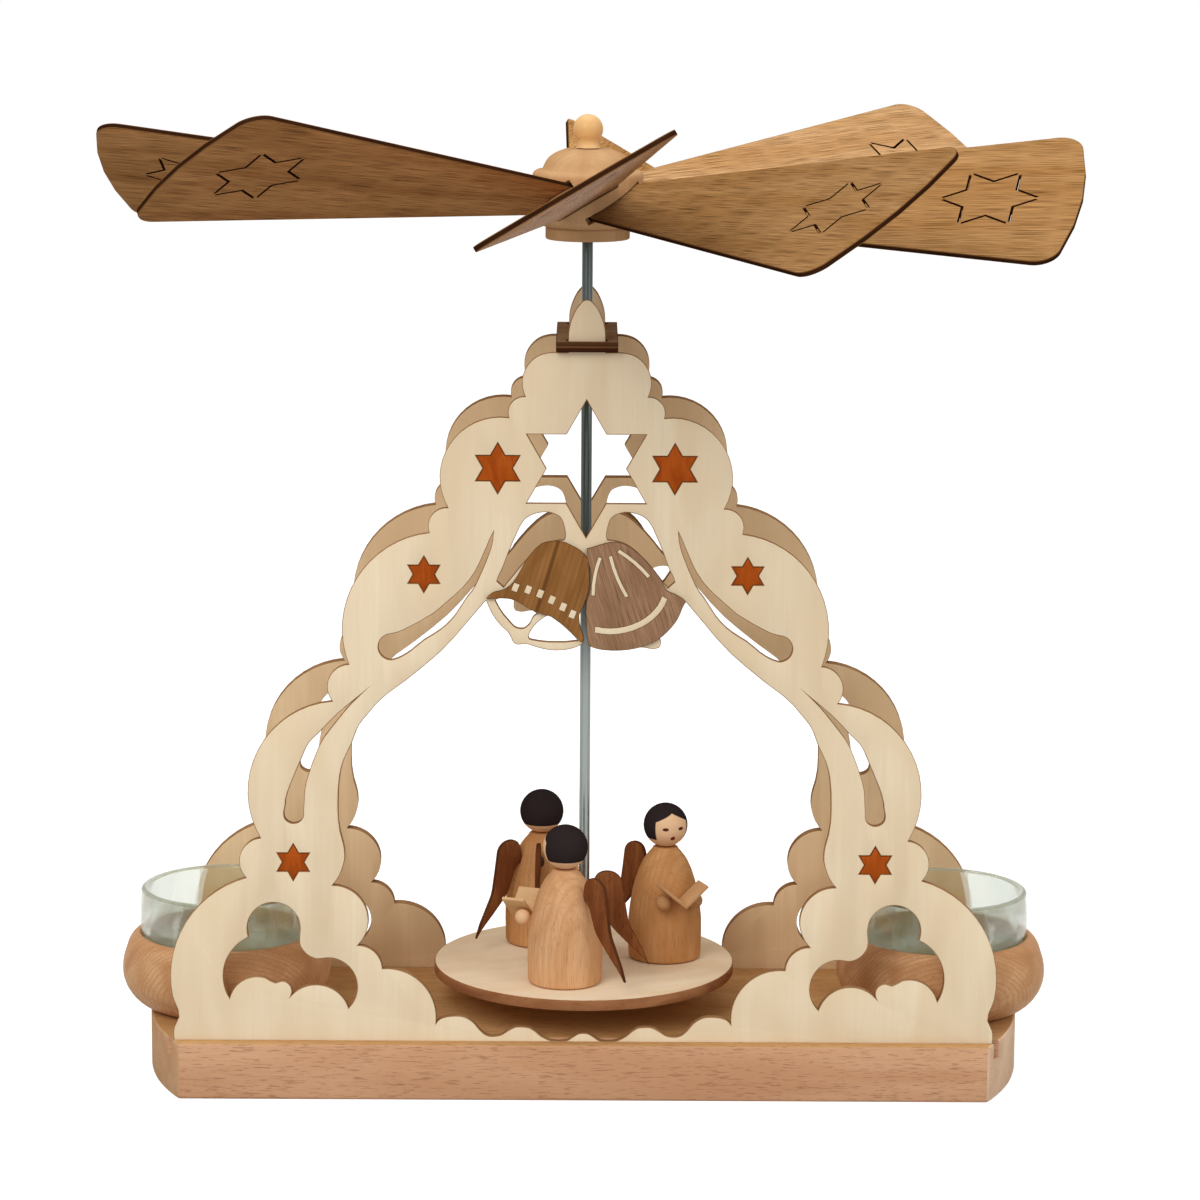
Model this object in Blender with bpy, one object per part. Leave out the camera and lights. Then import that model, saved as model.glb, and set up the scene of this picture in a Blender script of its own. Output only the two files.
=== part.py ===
"""Candle carousel: two scroll-sawn plywood arches on a beech base carry an upright spindle.

The warm air of two tea lights turns the winged rotor, and with it the spindle and the round
table of three carved figures. Metres, +Z up, origin at the middle of the base's underside,
front towards -Y.
"""

import bpy
import bmesh
from math import acos, atan, ceil, cos, hypot, pi, radians, sin, sqrt, tan
from mathutils import Matrix, Vector

# Gaps between pieces
seat_gap = 0.0003           # between a piece and what it rests on or is glued into
running_gap = 0.00035       # round the spindle where it turns
overrun = 0.002             # how far a cut runs past the piece that it cuts
weld_distance = 1e-6
bore_steps = 12             # facets round the spindle's bores in flat pieces
star_tips = 6
arc_tolerance = 0.00021     # how far a facet may lie inside a true arc

# Base board
base_corner_length = 0.225  # between the square corners, along the front
base_end_bulge = 0.0111     # how far each rounded end stands out past its corners
base_depth = 0.085
base_thickness = 0.0163
base_edge_radius = 0.0007
rim_angle = radians(60)     # edges sharper than this are eased
groove_offset = 0.0375      # from the middle of the base to the middle of each arch's groove

# Arches: sheets of thin plywood that lean in towards each other
sheet_thickness = 0.003
arch_lean = radians(5.18)
foot_depth = 0.0044         # how deep an arch stands in its groove
arch_grid_width = 0.100     # the arch is drawn on a grid of this width and height,
arch_grid_height = 0.200    # from its middle line and from the top face of the base

# Each point: share of the grid's width, share of its height, and the bulge of the arc
# that leads to it, as a share of half its chord (positive bulges to the right of the way).
lobe_shares = (
    (1.137, 0.0, 0.0), (1.123, 0.031, 0.2), (0.936, 0.2265, 0.454), (0.896, 0.282, 0.63),
    (0.697, 0.473, 0.553), (0.652, 0.524, 0.62), (0.431, 0.7065, 0.492), (0.380, 0.741, 0.54),
    (0.214, 0.865, 0.623), (0.169, 0.894, 0.52), (0.090, 0.9545, 0.57),
)
finial_shares = (
    (0.0515, 0.9545, 0.0), (0.051, 0.980, 0.0), (0.041, 1.002, 0.08), (0.0285, 1.015, 0.05),
    (0.0, 1.0265, 0.2),
)
foot_share = 1.135          # half the width of the foot in the groove
# The wave of the sill between the legs, from the middle outwards to the inner leg's cusp.
sill_shares = (
    (0.0, 0.0105), (0.020, 0.008), (0.038, 0.002), (0.065, -0.0015), (0.100, 0.0015),
    (0.125, 0.009), (0.145, 0.0165), (0.170, 0.019), (0.195, 0.0175), (0.220, 0.010),
    (0.250, 0.0055), (0.278, 0.010), (0.297, 0.020), (0.320, 0.030), (0.355, 0.034),
    (0.390, 0.0315),
)
# The inner leg from that cusp up to the bells' lips; the first ones are scallops.
leg_scallop_shares = (
    (0.409, 0.024, 0.0), (0.558, 0.100, -0.47), (0.626, 0.1325, -0.40), (0.696, 0.2165, -0.67),
)
leg_shares = (
    (0.677, 0.230), (0.668, 0.2415), (0.662, 0.2585), (0.666, 0.275), (0.675, 0.2915),
    (0.681, 0.325), (0.680, 0.350), (0.676, 0.370), (0.664, 0.3925), (0.644, 0.414),
    (0.630, 0.4325), (0.600, 0.4545), (0.547, 0.4825), (0.493, 0.5025), (0.440, 0.524),
    (0.400, 0.5415), (0.360, 0.5625), (0.318, 0.5875), (0.280, 0.610),
)
# Crescent opening between a leg and the bells, from its top down the leg and up the bell.
crescent_shares = (
    (0.115, 0.7355), (0.149, 0.7315), (0.172, 0.723), (0.188, 0.7085), (0.200, 0.695),
    (0.213, 0.679), (0.225, 0.6625), (0.238, 0.6485), (0.244, 0.640), (0.226, 0.632),
    (0.208, 0.643), (0.191, 0.654), (0.169, 0.667), (0.143, 0.680), (0.117, 0.690),
    (0.085, 0.696), (0.060, 0.6975), (0.057, 0.7025), (0.058, 0.710), (0.063, 0.720),
    (0.080, 0.7315),
)
# Leaf-shaped slots: the two edges from the round end to the tip, and the end's bulge.
upper_slot_end_share = -1.0
upper_slot_tip_share = (0.255, 0.7065)
upper_slot_low_shares = (
    (0.530, 0.531), (0.496, 0.5385), (0.467, 0.5495), (0.420, 0.566), (0.387, 0.578),
    (0.358, 0.594), (0.326, 0.6185), (0.304, 0.634), (0.283, 0.657), (0.266, 0.6785),
)
upper_slot_high_shares = (
    (0.272, 0.6875), (0.293, 0.6635), (0.320, 0.641), (0.360, 0.620), (0.415, 0.596),
    (0.460, 0.5825), (0.500, 0.572), (0.540, 0.566),
)
lower_slot_end_share = 1.4
lower_slot_tip_share = (0.624, 0.480)
lower_slot_out_shares = (
    (0.829, 0.322), (0.826, 0.335), (0.812, 0.3575), (0.791, 0.3825), (0.772, 0.405),
    (0.752, 0.420), (0.729, 0.431), (0.705, 0.444), (0.680, 0.4565), (0.653, 0.468),
)
lower_slot_in_shares = (
    (0.662, 0.460), (0.690, 0.4425), (0.717, 0.425), (0.734, 0.410), (0.751, 0.389),
    (0.764, 0.370), (0.773, 0.3515), (0.775, 0.335), (0.777, 0.320),
)
# Cloud-shaped opening over each end of the base, clockwise from its upper left corner.
cloud_shares = (
    (0.787, 0.149, 0.49), (0.929, 0.143, -1.29), (0.982, 0.0575, -0.45),
    (0.855, 0.079, 0.55), (0.812, 0.061, 0.79), (0.652, 0.0445, 0.58), (0.733, 0.113, -0.78),
)
window_centre_share = 0.795  # height of the star window's middle
window_radius = 0.0189       # to the star's tips

# Stars inlaid through each arch: place of the middle and which size
inlay_shares = ((0.243, 0.7955), (0.445, 0.649), (0.805, 0.2485))
inlay_radii = (0.0069, 0.00495, 0.00505)

# Pair of bells: the plywood below the left bell's lip, with the clapper, and two overlays
mouth_rim_shares = (
    (-0.273, 0.6125), (-0.258, 0.5955), (-0.232, 0.578), (-0.210, 0.567), (-0.204, 0.561),
    (-0.198, 0.5555), (-0.185, 0.5525), (-0.170, 0.5535), (-0.141, 0.550), (-0.102, 0.5455),
    (-0.067, 0.545), (-0.037, 0.5475), (-0.008, 0.554),
)
bell_gap_shares = (
    (-0.006, 0.565), (-0.013, 0.5755), (-0.017, 0.5865), (-0.017, 0.595), (0.0, 0.6125),
    (0.001, 0.605), (0.002, 0.5865), (0.004, 0.565),
)
right_bell_low_shares = (
    (0.009, 0.552), (0.026, 0.5485), (0.052, 0.546), (0.095, 0.5455), (0.139, 0.5485),
    (0.165, 0.549), (0.178, 0.5475), (0.202, 0.549), (0.208, 0.5555), (0.204, 0.5625),
    (0.225, 0.5715), (0.247, 0.5845), (0.264, 0.602), (0.275, 0.6125),
)
left_mouth_shares = (
    (-0.249, 0.614), (-0.227, 0.595), (-0.201, 0.580), (-0.186, 0.5755), (-0.164, 0.577),
    (-0.150, 0.586), (-0.133, 0.5955), (-0.167, 0.606), (-0.193, 0.6135),
)
right_mouth_shares = (
    (-0.156, 0.566), (-0.152, 0.560), (-0.102, 0.5565), (-0.058, 0.5565), (-0.021, 0.5585),
    (-0.037, 0.5675), (-0.067, 0.581), (-0.097, 0.592), (-0.115, 0.590), (-0.142, 0.578),
)
overlay_thickness = 0.0008
overlay_joint = 0.0002       # half the joint between the two bells' overlays
left_bell_shares = (
    (-0.110, 0.695), (-0.128, 0.6905), (-0.149, 0.680), (-0.167, 0.667), (-0.184, 0.6515),
    (-0.201, 0.6385), (-0.219, 0.631), (-0.245, 0.6265), (-0.262, 0.6225), (-0.273, 0.616),
    (-0.249, 0.6165), (-0.219, 0.6165), (-0.193, 0.6135), (-0.167, 0.606), (-0.132, 0.5975),
    (-0.097, 0.592), (-0.071, 0.5845), (-0.045, 0.5735), (-0.024, 0.563), (-0.009, 0.556),
    (-0.006, 0.565), (-0.013, 0.5755), (-0.017, 0.5865), (-0.017, 0.595),
)
bell_joint_shares = (
    (0.0, 0.6125), (0.009, 0.6275), (0.012, 0.648), (0.010, 0.6575), (0.0, 0.6775),
)
left_bell_top_shares = ((-0.028, 0.6875), (-0.054, 0.694), (-0.080, 0.6965))
right_bell_shares = (
    (0.003, 0.6865), (0.026, 0.6895), (0.056, 0.694), (0.087, 0.695), (0.117, 0.6895),
    (0.143, 0.680), (0.169, 0.667), (0.191, 0.654), (0.208, 0.643), (0.221, 0.630),
    (0.238, 0.6255), (0.260, 0.620), (0.275, 0.6125), (0.264, 0.602), (0.247, 0.5845),
    (0.225, 0.5715), (0.199, 0.5605), (0.173, 0.554), (0.139, 0.5485), (0.095, 0.5455),
    (0.052, 0.546), (0.026, 0.5485), (0.009, 0.552), (0.004, 0.565), (0.002, 0.5865),
)
pane_shares = (
    (-0.193, 0.632), (-0.158, 0.629), (-0.125, 0.6235), (-0.093, 0.615), (-0.062, 0.6055),
    (-0.036, 0.5955),
)
pane_width = 0.0016          # the small upright openings above the left bell's lip
pane_height = 0.0022
pane_tilt = radians(-22)
stripe_width = 0.0009        # the light stripes cut in the right bell
stripe_shares = (
    ((0.039, 0.6735), (0.026, 0.6515), (0.020, 0.6215)),
    ((0.067, 0.6755), (0.087, 0.645), (0.113, 0.620)),
    ((0.089, 0.683), (0.134, 0.667), (0.173, 0.6475)),
)
band_width = 0.0016          # the light band above its lip
band_shares = ((0.026, 0.5745), (0.087, 0.5725), (0.152, 0.5825), (0.195, 0.5995), (0.217, 0.619))

# Bearing plate on the arches' shoulders
shoulder_share = 0.9545
finial_half_share = 0.0515
plate_half_width = 0.0085
plate_half_depth = 0.024
plate_thickness = 0.0028

# Spindle and its cup bearing
rod_radius = 0.0015
rod_point_length = 0.003
rod_point_radius = 0.0003
cup_radius = 0.004
cup_height = 0.0072
cup_flange_radius = 0.0052
cup_flange_height = 0.001
cup_floor = 0.0022
cup_mouth_radius = 0.0028
cup_seat_radius = 0.0005
cup_steps = 16
rod_steps = 12

# Turntable
table_radius = 0.0428
table_thickness = 0.003
table_clearance = 0.0097     # from the base's top face to the table's underside
collar_radius = 0.0055
collar_height = 0.005
collar_chamfer = 0.0008
table_steps = 40
collar_steps = 16

# Rotor hub and knob
hub_lift = 0.026             # from the bearing plate up to the hub
hub_radius = 0.0153
hub_height = 0.0248
hub_bore_depth = 0.012
hub_shares = (
    (0.745, 0.0), (0.765, 0.02), (0.765, 0.11), (0.745, 0.135), (0.830, 0.150), (0.889, 0.175),
    (0.941, 0.24), (0.967, 0.363), (0.987, 0.524), (1.0, 0.665), (0.993, 0.73), (0.941, 0.762),
    (0.82, 0.785), (0.784, 0.835), (0.752, 0.871), (0.654, 0.931), (0.549, 0.968), (0.412, 1.0),
)
knob_radius = 0.00415
knob_neck_radius = 0.0033
knob_centre = 0.0051         # from the hub's top up to the middle of the ball
hub_steps = 20
knob_steps = 14
ball_steps = 8               # facets up the side of the knob and of each head

# Rotor blades: flat-cut veneer plywood, set in slots of the hub by hand
blade_thickness = 0.0015
blade_pitch = radians(30.6)
blade_level = 0.0100         # the blades' middle above the hub's underside
blade_root_radius = 0.0105   # where a blade ends inside its slot
blade_tip_radius = 0.1377
blade_tip_bulge = 0.0046
blade_root_chord = 0.0160
blade_tip_chord = 0.0592
blade_corner = 0.006
blade_corner_bulge_share = 0.39
# Turn about the spindle and rise towards the tip of each blade, in degrees.
blade_seats = (
    (268.6, 6.2), (304.3, 3.3), (344.4, 1.9), (33.8, 3.0),
    (82.0, -0.4), (126.0, 0.6), (171.7, 2.8), (220.2, 6.7),
)
blade_star_inset = 0.0252    # from the blade's tip in to the middle of its sawn star
blade_star_radius = 0.0137
slit_width = 0.0005
slit_reach_share = 0.87      # how far a slit runs from the star's notch to its tip

# Candle holders and their glasses
holder_offset = 0.1022       # from the middle of the base
glass_radius = 0.0242
glass_wall = 0.0022
glass_floor = 0.0040
glass_height = 0.0209
glass_heel_radius = 0.006    # rounding between the glass's wall and its foot
glass_edge_radius = 0.0007
holder_rim_wall = 0.0011     # wood left round the glass at the rim
holder_height = 0.0207
holder_floor = 0.0126        # height of the recess's floor above the foot
holder_belly = 0.0041        # how far the belly stands out past the rim
holder_foot_inset = 0.0031   # how far the foot lies inside the rim
# Each point: share of the way from the foot's radius to the belly's, and of the height.
holder_shares = (
    (0.0, 0.0), (0.10, 0.01), (0.36, 0.06), (0.72, 0.19), (0.95, 0.36), (1.0, 0.50),
    (0.94, 0.67), (0.78, 0.84), (0.62, 0.94),
)
spigot_radius = 0.008
spigot_length = 0.008
holder_steps = 22
heel_steps = 3

# Carved figures, all alike, each glued to the table by hand
figure_orbit = 0.0235        # from the spindle to each figure's middle
# Place round the spindle, and the way the figure looks, in degrees.
figure_seats = ((257.0, 159.0), (9.5, 291.0), (121.8, 62.0))
body_radius = 0.0105
body_height = 0.0322
body_shares = (
    (0.95, 0.0), (0.985, 0.02), (1.0, 0.20), (0.995, 0.35), (0.955, 0.47), (0.895, 0.59),
    (0.81, 0.70), (0.724, 0.786), (0.61, 0.87), (0.467, 0.938), (0.37, 0.975), (0.305, 1.0),
)
head_radius = 0.0063
head_cut_share = 0.95        # the ball is cut flat this share of its radius below its middle
body_steps = 14
head_steps = 14
wing_length = 0.0275
wing_reach = 0.0158          # how far the tail lies outside the wing's root
wing_thickness = 0.0011
wing_splay = radians(24)     # each wing's angle from the middle of the back
wing_root_height = 0.0253    # height on the body of the place where the wing is glued
wing_root_share = 0.227      # where that place lies down the wing's length
# Share of the reach outwards and of the length downwards, clockwise from the root.
wing_shares = (
    (0.0, 0.227), (0.0, 0.12), (0.06, 0.04), (0.23, 0.0), (0.42, 0.035), (0.51, 0.12),
    (0.56, 0.31), (0.62, 0.51), (0.73, 0.66), (0.82, 0.76), (0.91, 0.86), (1.0, 1.0),
    (0.81, 0.87), (0.63, 0.77), (0.41, 0.64), (0.25, 0.51), (0.19, 0.41), (0.11, 0.31),
)
hand_radius = 0.00215
hand_height = 0.0184         # of a hand's middle above the table
hand_spread = 0.0048         # from the figure's middle to each hand's middle
page_width = 0.0086
page_thickness = 0.0009
page_depth = 0.0066          # along the songbook's spine
page_rise = radians(41)


def paint(thing, colour, roughness, metallic=0.0):
    """Give the object a plain finish in the colour of the real piece."""
    finish = bpy.data.materials.new(thing.name)
    finish.use_nodes = True
    shader = finish.node_tree.nodes["Principled BSDF"]
    shader.inputs["Base Color"].default_value = (*colour, 1.0)
    shader.inputs["Roughness"].default_value = roughness
    shader.inputs["Metallic"].default_value = metallic
    finish.diffuse_color = (*colour, 1.0)
    thing.data.materials.append(finish)
    return thing


light_ply = ((0.80, 0.68, 0.48), 0.55)
beech = ((0.56, 0.30, 0.16), 0.5)
maple = ((0.72, 0.48, 0.26), 0.5)
dark_walnut = ((0.07, 0.03, 0.018), 0.5)
brown_veneer = ((0.19, 0.085, 0.03), 0.5)
grey_veneer = ((0.21, 0.13, 0.095), 0.5)
oak_veneer = ((0.33, 0.17, 0.06), 0.55)
padauk = ((0.52, 0.06, 0.008), 0.5)
wing_wood = ((0.09, 0.025, 0.012), 0.5)
figure_wood = ((0.58, 0.31, 0.14), 0.5)
skin_wood = ((0.68, 0.42, 0.24), 0.5)
steel = ((0.30, 0.33, 0.34), 0.35, 1.0)
brass = ((0.62, 0.45, 0.18), 0.35, 1.0)
glass = ((0.75, 0.85, 0.80), 0.05)


def new_object(name, data, parent=None, place=None):
    thing = bpy.data.objects.new(name, data)
    bpy.context.scene.collection.objects.link(thing)
    thing.parent = parent
    if place is not None:
        thing.matrix_local = place
    return thing


def mesh_object(name, shape, parent=None, place=None, smooth_angle=radians(35)):
    """Turn a finished bmesh into an object, shaded smooth but for its sharp edges."""
    bmesh.ops.recalc_face_normals(shape, faces=shape.faces)
    mesh = bpy.data.meshes.new(name)
    shape.to_mesh(mesh)
    shape.free()
    mesh.shade_smooth()
    mesh.set_sharp_from_angle(angle=smooth_angle)
    return new_object(name, mesh, parent, place)


def flat_cut(name, outline, holes, thickness, parent=None, place=None):
    """A sheet sawn to an outline with holes, its middle plane at local z = 0."""
    drawing = bpy.data.curves.new(name, "CURVE")
    drawing.dimensions = "2D"
    drawing.fill_mode = "BOTH"
    drawing.extrude = thickness / 2
    for ring in (outline, *holes):
        spline = drawing.splines.new("POLY")
        spline.points.add(len(ring) - 1)
        for point, (x, y) in zip(spline.points, ring):
            point.co = (x, y, 0.0, 1.0)
        spline.use_cyclic_u = True
    return new_object(name, drawing, parent, place)


def turned(name, profile, steps, parent=None, place=None):
    """A piece turned on the lathe from a run of (radius, height) points."""
    shape = bmesh.new()
    points = [shape.verts.new((radius, 0.0, height)) for radius, height in profile]
    edges = [shape.edges.new(pair) for pair in zip(points, points[1:])]
    if profile[0][0] > 0:
        edges.append(shape.edges.new((points[-1], points[0])))
    bmesh.ops.spin(
        shape, geom=points + edges, cent=(0, 0, 0), axis=(0, 0, 1),
        angle=2 * pi, steps=steps, use_merge=True,
    )
    bmesh.ops.remove_doubles(shape, verts=shape.verts, dist=weld_distance)
    return mesh_object(name, shape, parent, place)


def box_shape(low, high):
    """A closed box between two corners."""
    shape = bmesh.new()
    size = Vector(high) - Vector(low)
    bmesh.ops.create_cube(
        shape, size=1.0, matrix=Matrix.Translation((Vector(low) + Vector(high)) / 2)
        @ Matrix.Diagonal((*size, 1.0)),
    )
    return shape


def cut(thing, cutter):
    """Saw the cutter's shape out of the object, and keep the cutter as a hidden guide."""
    cutter.hide_render = True
    cutter.display_type = "WIRE"
    saw = thing.modifiers.new(cutter.name, "BOOLEAN")
    saw.operation = "DIFFERENCE"
    saw.solver = "EXACT"
    saw.object = cutter


def arc_to(start, end, bulge_share):
    """Points after start up to end, on the arc that bulges to the right of the way."""
    if bulge_share == 0:
        return [end]
    (x0, y0), (x1, y1) = start, end
    half = hypot(x1 - x0, y1 - y0) / 2
    bulge = abs(bulge_share)
    radius = half * (1 + bulge * bulge) / (2 * bulge)
    sweep = 4 * atan(bulge)
    steps = max(2, ceil(sweep / (2 * acos(1 - arc_tolerance / radius))))
    side = 1 if bulge_share > 0 else -1
    along = ((x1 - x0) / (2 * half), (y1 - y0) / (2 * half))
    out = (side * along[1], -side * along[0])
    rise = half * bulge - radius
    points = []
    for step in range(1, steps):
        angle = sweep * (step / steps - 1 / 2)
        forward, outward = half + radius * sin(angle), rise + radius * cos(angle)
        points.append((
            x0 + along[0] * forward + out[0] * outward,
            y0 + along[1] * forward + out[1] * outward,
        ))
    return [*points, end]


def arcs_through(corners):
    """An outline from (x, y, bulge) corners; the first corner's bulge leads on from the last."""
    points = []
    for before, (x, y, bulge_share) in zip((corners[-1], *corners), corners):
        points += arc_to(before[:2], (x, y), bulge_share)
    return points


def circle(radius, steps):
    return [
        (radius * cos(2 * pi * step / steps), radius * sin(2 * pi * step / steps))
        for step in range(steps)
    ]


def star(centre, radius, grow=0.0):
    """A six-pointed star of two crossed triangles, one tip up; grow moves its edges outwards."""
    tip = radius + 2 * grow
    reaches = (tip, tip / sqrt(3)) * star_tips
    return [
        (
            centre[0] + reach * sin(corner * pi / star_tips),
            centre[1] + reach * cos(corner * pi / star_tips),
        )
        for corner, reach in enumerate(reaches)
    ]


def strip(line, width):
    """The outline of a narrow band of one width along a line of points."""
    left, right = [], []
    for index, (x, y) in enumerate(line):
        ahead = Vector(line[min(index + 1, len(line) - 1)])
        behind = Vector(line[max(index - 1, 0)])
        way = (ahead - behind).normalized()
        left.append((x - way.y * width / 2, y + way.x * width / 2))
        right.append((x + way.y * width / 2, y - way.x * width / 2))
    return left + right[::-1]


def on_grid(shares):
    """Shares of the arch's grid as lengths; a bulge share is kept as it is."""
    return [
        (point[0] * arch_grid_width, point[1] * arch_grid_height, *point[2:])
        for point in shares
    ]


def mirrored(points):
    """The same points on the other side of the arch's middle line, in reverse order."""
    return [(-point[0], point[1]) for point in reversed(points)]


def arch_outline():
    foot = (foot_share * arch_grid_width, -foot_depth)
    corners = [(*foot, 0.0), *on_grid(lobe_shares), *on_grid(finial_shares)]
    right = [foot]
    for before, (x, y, bulge_share) in zip(corners, corners[1:]):
        right += arc_to(before[:2], (x, y), bulge_share)
    return right + mirrored(right[:-1])


def arch_opening():
    """The big opening, from the middle of the sill up the right leg and back by the bells."""
    sill = on_grid(sill_shares)
    scallops = on_grid(leg_scallop_shares)
    leg = [scallops[0][:2]]
    for before, (x, y, bulge_share) in zip(scallops, scallops[1:]):
        leg += arc_to(before[:2], (x, y), bulge_share)
    leg += on_grid(leg_shares)
    bells = on_grid(mouth_rim_shares + bell_gap_shares + right_bell_low_shares)
    return sill + leg + bells[::-1] + mirrored(leg) + mirrored(sill[1:])


def leaf_slot(low_edge, tip, high_edge, end_share):
    """A slot that runs from a round end out to a thin tip."""
    low, high = on_grid(low_edge), on_grid(high_edge)
    return low + on_grid([tip]) + high + arc_to(high[-1], low[0], end_share)[:-1]


def arch_holes():
    clouds = arcs_through(on_grid(cloud_shares))
    crescent = on_grid(crescent_shares)
    upper = leaf_slot(
        upper_slot_low_shares, upper_slot_tip_share, upper_slot_high_shares, upper_slot_end_share
    )
    lower = leaf_slot(
        lower_slot_out_shares, lower_slot_tip_share, lower_slot_in_shares, lower_slot_end_share
    )
    holes = [arch_opening(), star((0.0, window_centre_share * arch_grid_height), window_radius)]
    for hole in (clouds, crescent, upper, lower):
        holes += [hole, mirrored(hole)]
    holes += [on_grid(left_mouth_shares), on_grid(right_mouth_shares)]
    for place, radius in inlay_places():
        holes.append(star(place, radius, seat_gap))
    return holes


def inlay_places():
    """Middle and radius of each inlaid star, left and right."""
    places = []
    for (x, y), radius in zip(on_grid(inlay_shares), inlay_radii):
        places += [((x, y), radius), ((-x, y), radius)]
    return places


def left_bell_outline():
    joint = [(x - overlay_joint, y) for x, y in on_grid(bell_joint_shares)]
    return on_grid(left_bell_shares) + joint + on_grid(left_bell_top_shares)


def right_bell_outline():
    joint = [(x + overlay_joint, y) for x, y in on_grid(bell_joint_shares)]
    return on_grid(right_bell_shares) + joint


def bell_panes():
    corners = (
        (-pane_width / 2, -pane_height / 2), (pane_width / 2, -pane_height / 2),
        (pane_width / 2, pane_height / 2), (-pane_width / 2, pane_height / 2),
    )
    return [
        [
            (x + u * cos(pane_tilt) - v * sin(pane_tilt), y + u * sin(pane_tilt) + v * cos(pane_tilt))
            for u, v in corners
        ]
        for x, y in on_grid(pane_shares)
    ]


def bell_stripes():
    return [
        *(strip(on_grid(line), stripe_width) for line in stripe_shares),
        strip(on_grid(band_shares), band_width),
    ]


def make_arch(side, turn):
    """One arch with its inlaid stars and its bells; gives back the plane that it stands in."""
    plane = new_object(f"{side}_arch_plane", None)
    plane.matrix_local = (
        Matrix.Rotation(turn, 4, "Z")
        @ Matrix.Translation((0.0, -groove_offset, base_thickness))
        @ Matrix.Rotation(pi / 2 - arch_lean, 4, "X")
    )
    paint(flat_cut(f"{side}_arch", arch_outline(), arch_holes(), sheet_thickness, plane), *light_ply)
    for number, (place, radius) in enumerate(inlay_places(), 1):
        inlay = flat_cut(
            f"{side}_star_{number}", star((0.0, 0.0), radius), [], sheet_thickness,
            plane, Matrix.Translation((*place, 0.0)),
        )
        paint(inlay, *padauk)
    face = Matrix.Translation((0.0, 0.0, (sheet_thickness + overlay_thickness) / 2 + seat_gap))
    left = flat_cut(
        f"{side}_left_bell", left_bell_outline(), bell_panes(), overlay_thickness, plane, face
    )
    paint(left, *brown_veneer)
    right = flat_cut(
        f"{side}_right_bell", right_bell_outline(), bell_stripes(), overlay_thickness, plane, face
    )
    paint(right, *grey_veneer)
    return plane


def groove_cut(plane):
    """A slab in an arch's leaning plane that saws the groove for its foot."""
    half = sheet_thickness / 2 + seat_gap
    reach = base_corner_length / 2 + base_end_bulge + overrun
    shape = box_shape((-reach, -foot_depth - seat_gap, -half), (reach, overrun, half))
    return mesh_object(f"{plane.name}_groove", shape, plane)


def make_base(planes):
    half_length, half_depth = base_corner_length / 2, base_depth / 2
    end_share = base_end_bulge / half_depth
    outline = arcs_through([
        (half_length, -half_depth, 0.0), (half_length, half_depth, end_share),
        (-half_length, half_depth, 0.0), (-half_length, -half_depth, end_share),
    ])
    shape = bmesh.new()
    face = shape.faces.new([shape.verts.new((x, y, 0.0)) for x, y in outline])
    raised = bmesh.ops.extrude_face_region(shape, geom=[face])["geom"]
    bmesh.ops.translate(
        shape, vec=(0.0, 0.0, base_thickness),
        verts=[item for item in raised if isinstance(item, bmesh.types.BMVert)],
    )
    rims = [edge for edge in shape.edges if edge.calc_face_angle(0) > rim_angle]
    bmesh.ops.bevel(
        shape, geom=rims, offset=base_edge_radius, segments=1, affect="EDGES", profile=0.5
    )
    base = paint(mesh_object("base_board", shape), *beech)
    for plane in planes:
        cut(base, groove_cut(plane))
    cut(base, drill("cup_hole", cup_radius, cup_bottom(), cup_steps, 0.0))
    for side, x in (("left", -holder_offset), ("right", holder_offset)):
        spigot_end = base_thickness + seat_gap - spigot_length
        cut(base, drill(f"{side}_spigot_hole", spigot_radius, spigot_end, holder_steps, x))


def drill(name, radius, floor, steps, x):
    """A round cutter that leaves the seat gap round and below a pin, open at the base's top."""
    top, low, wide = base_thickness + overrun, floor - seat_gap, radius + seat_gap
    profile = [(0.0, top), (wide, top), (wide, low), (0.0, low)]
    return turned(name, profile, steps, None, Matrix.Translation((x, 0.0, 0.0)))


def plate_level():
    """The underside of the bearing plate, just clear of the leaning sheets' shoulders."""
    shoulder = shoulder_share * arch_grid_height
    return (
        base_thickness + shoulder * cos(arch_lean) + sheet_thickness / 2 * sin(arch_lean) + seat_gap
    )


def make_bearing_plate():
    middle = plate_level() + plate_thickness / 2
    slot_y = groove_offset - (middle - base_thickness) * tan(arch_lean)
    slot_half_width = finial_half_share * arch_grid_width + seat_gap
    slot_half_depth = (
        sheet_thickness / 2 / cos(arch_lean) + plate_thickness / 2 * tan(arch_lean) + seat_gap
    )
    holes = [circle(rod_radius + running_gap, bore_steps)]
    for y in (-slot_y, slot_y):
        holes.append([
            (-slot_half_width, y - slot_half_depth), (slot_half_width, y - slot_half_depth),
            (slot_half_width, y + slot_half_depth), (-slot_half_width, y + slot_half_depth),
        ])
    outline = [
        (-plate_half_width, -plate_half_depth), (plate_half_width, -plate_half_depth),
        (plate_half_width, plate_half_depth), (-plate_half_width, plate_half_depth),
    ]
    plate = flat_cut(
        "bearing_plate", outline, holes, plate_thickness, None,
        Matrix.Translation((0.0, 0.0, middle)),
    )
    paint(plate, *dark_walnut)


def cup_bottom():
    return base_thickness - (cup_height - cup_flange_height) + seat_gap


def make_bearing_cup():
    flange = cup_height - cup_flange_height
    profile = [
        (0.0, 0.0), (cup_radius, 0.0), (cup_radius, flange), (cup_flange_radius, flange),
        (cup_flange_radius, cup_height), (cup_mouth_radius, cup_height),
        (cup_seat_radius, cup_floor), (0.0, cup_floor),
    ]
    place = Matrix.Translation((0.0, 0.0, cup_bottom()))
    cup = turned("bearing_cup", profile, cup_steps, None, place)
    paint(cup, *brass)


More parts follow.
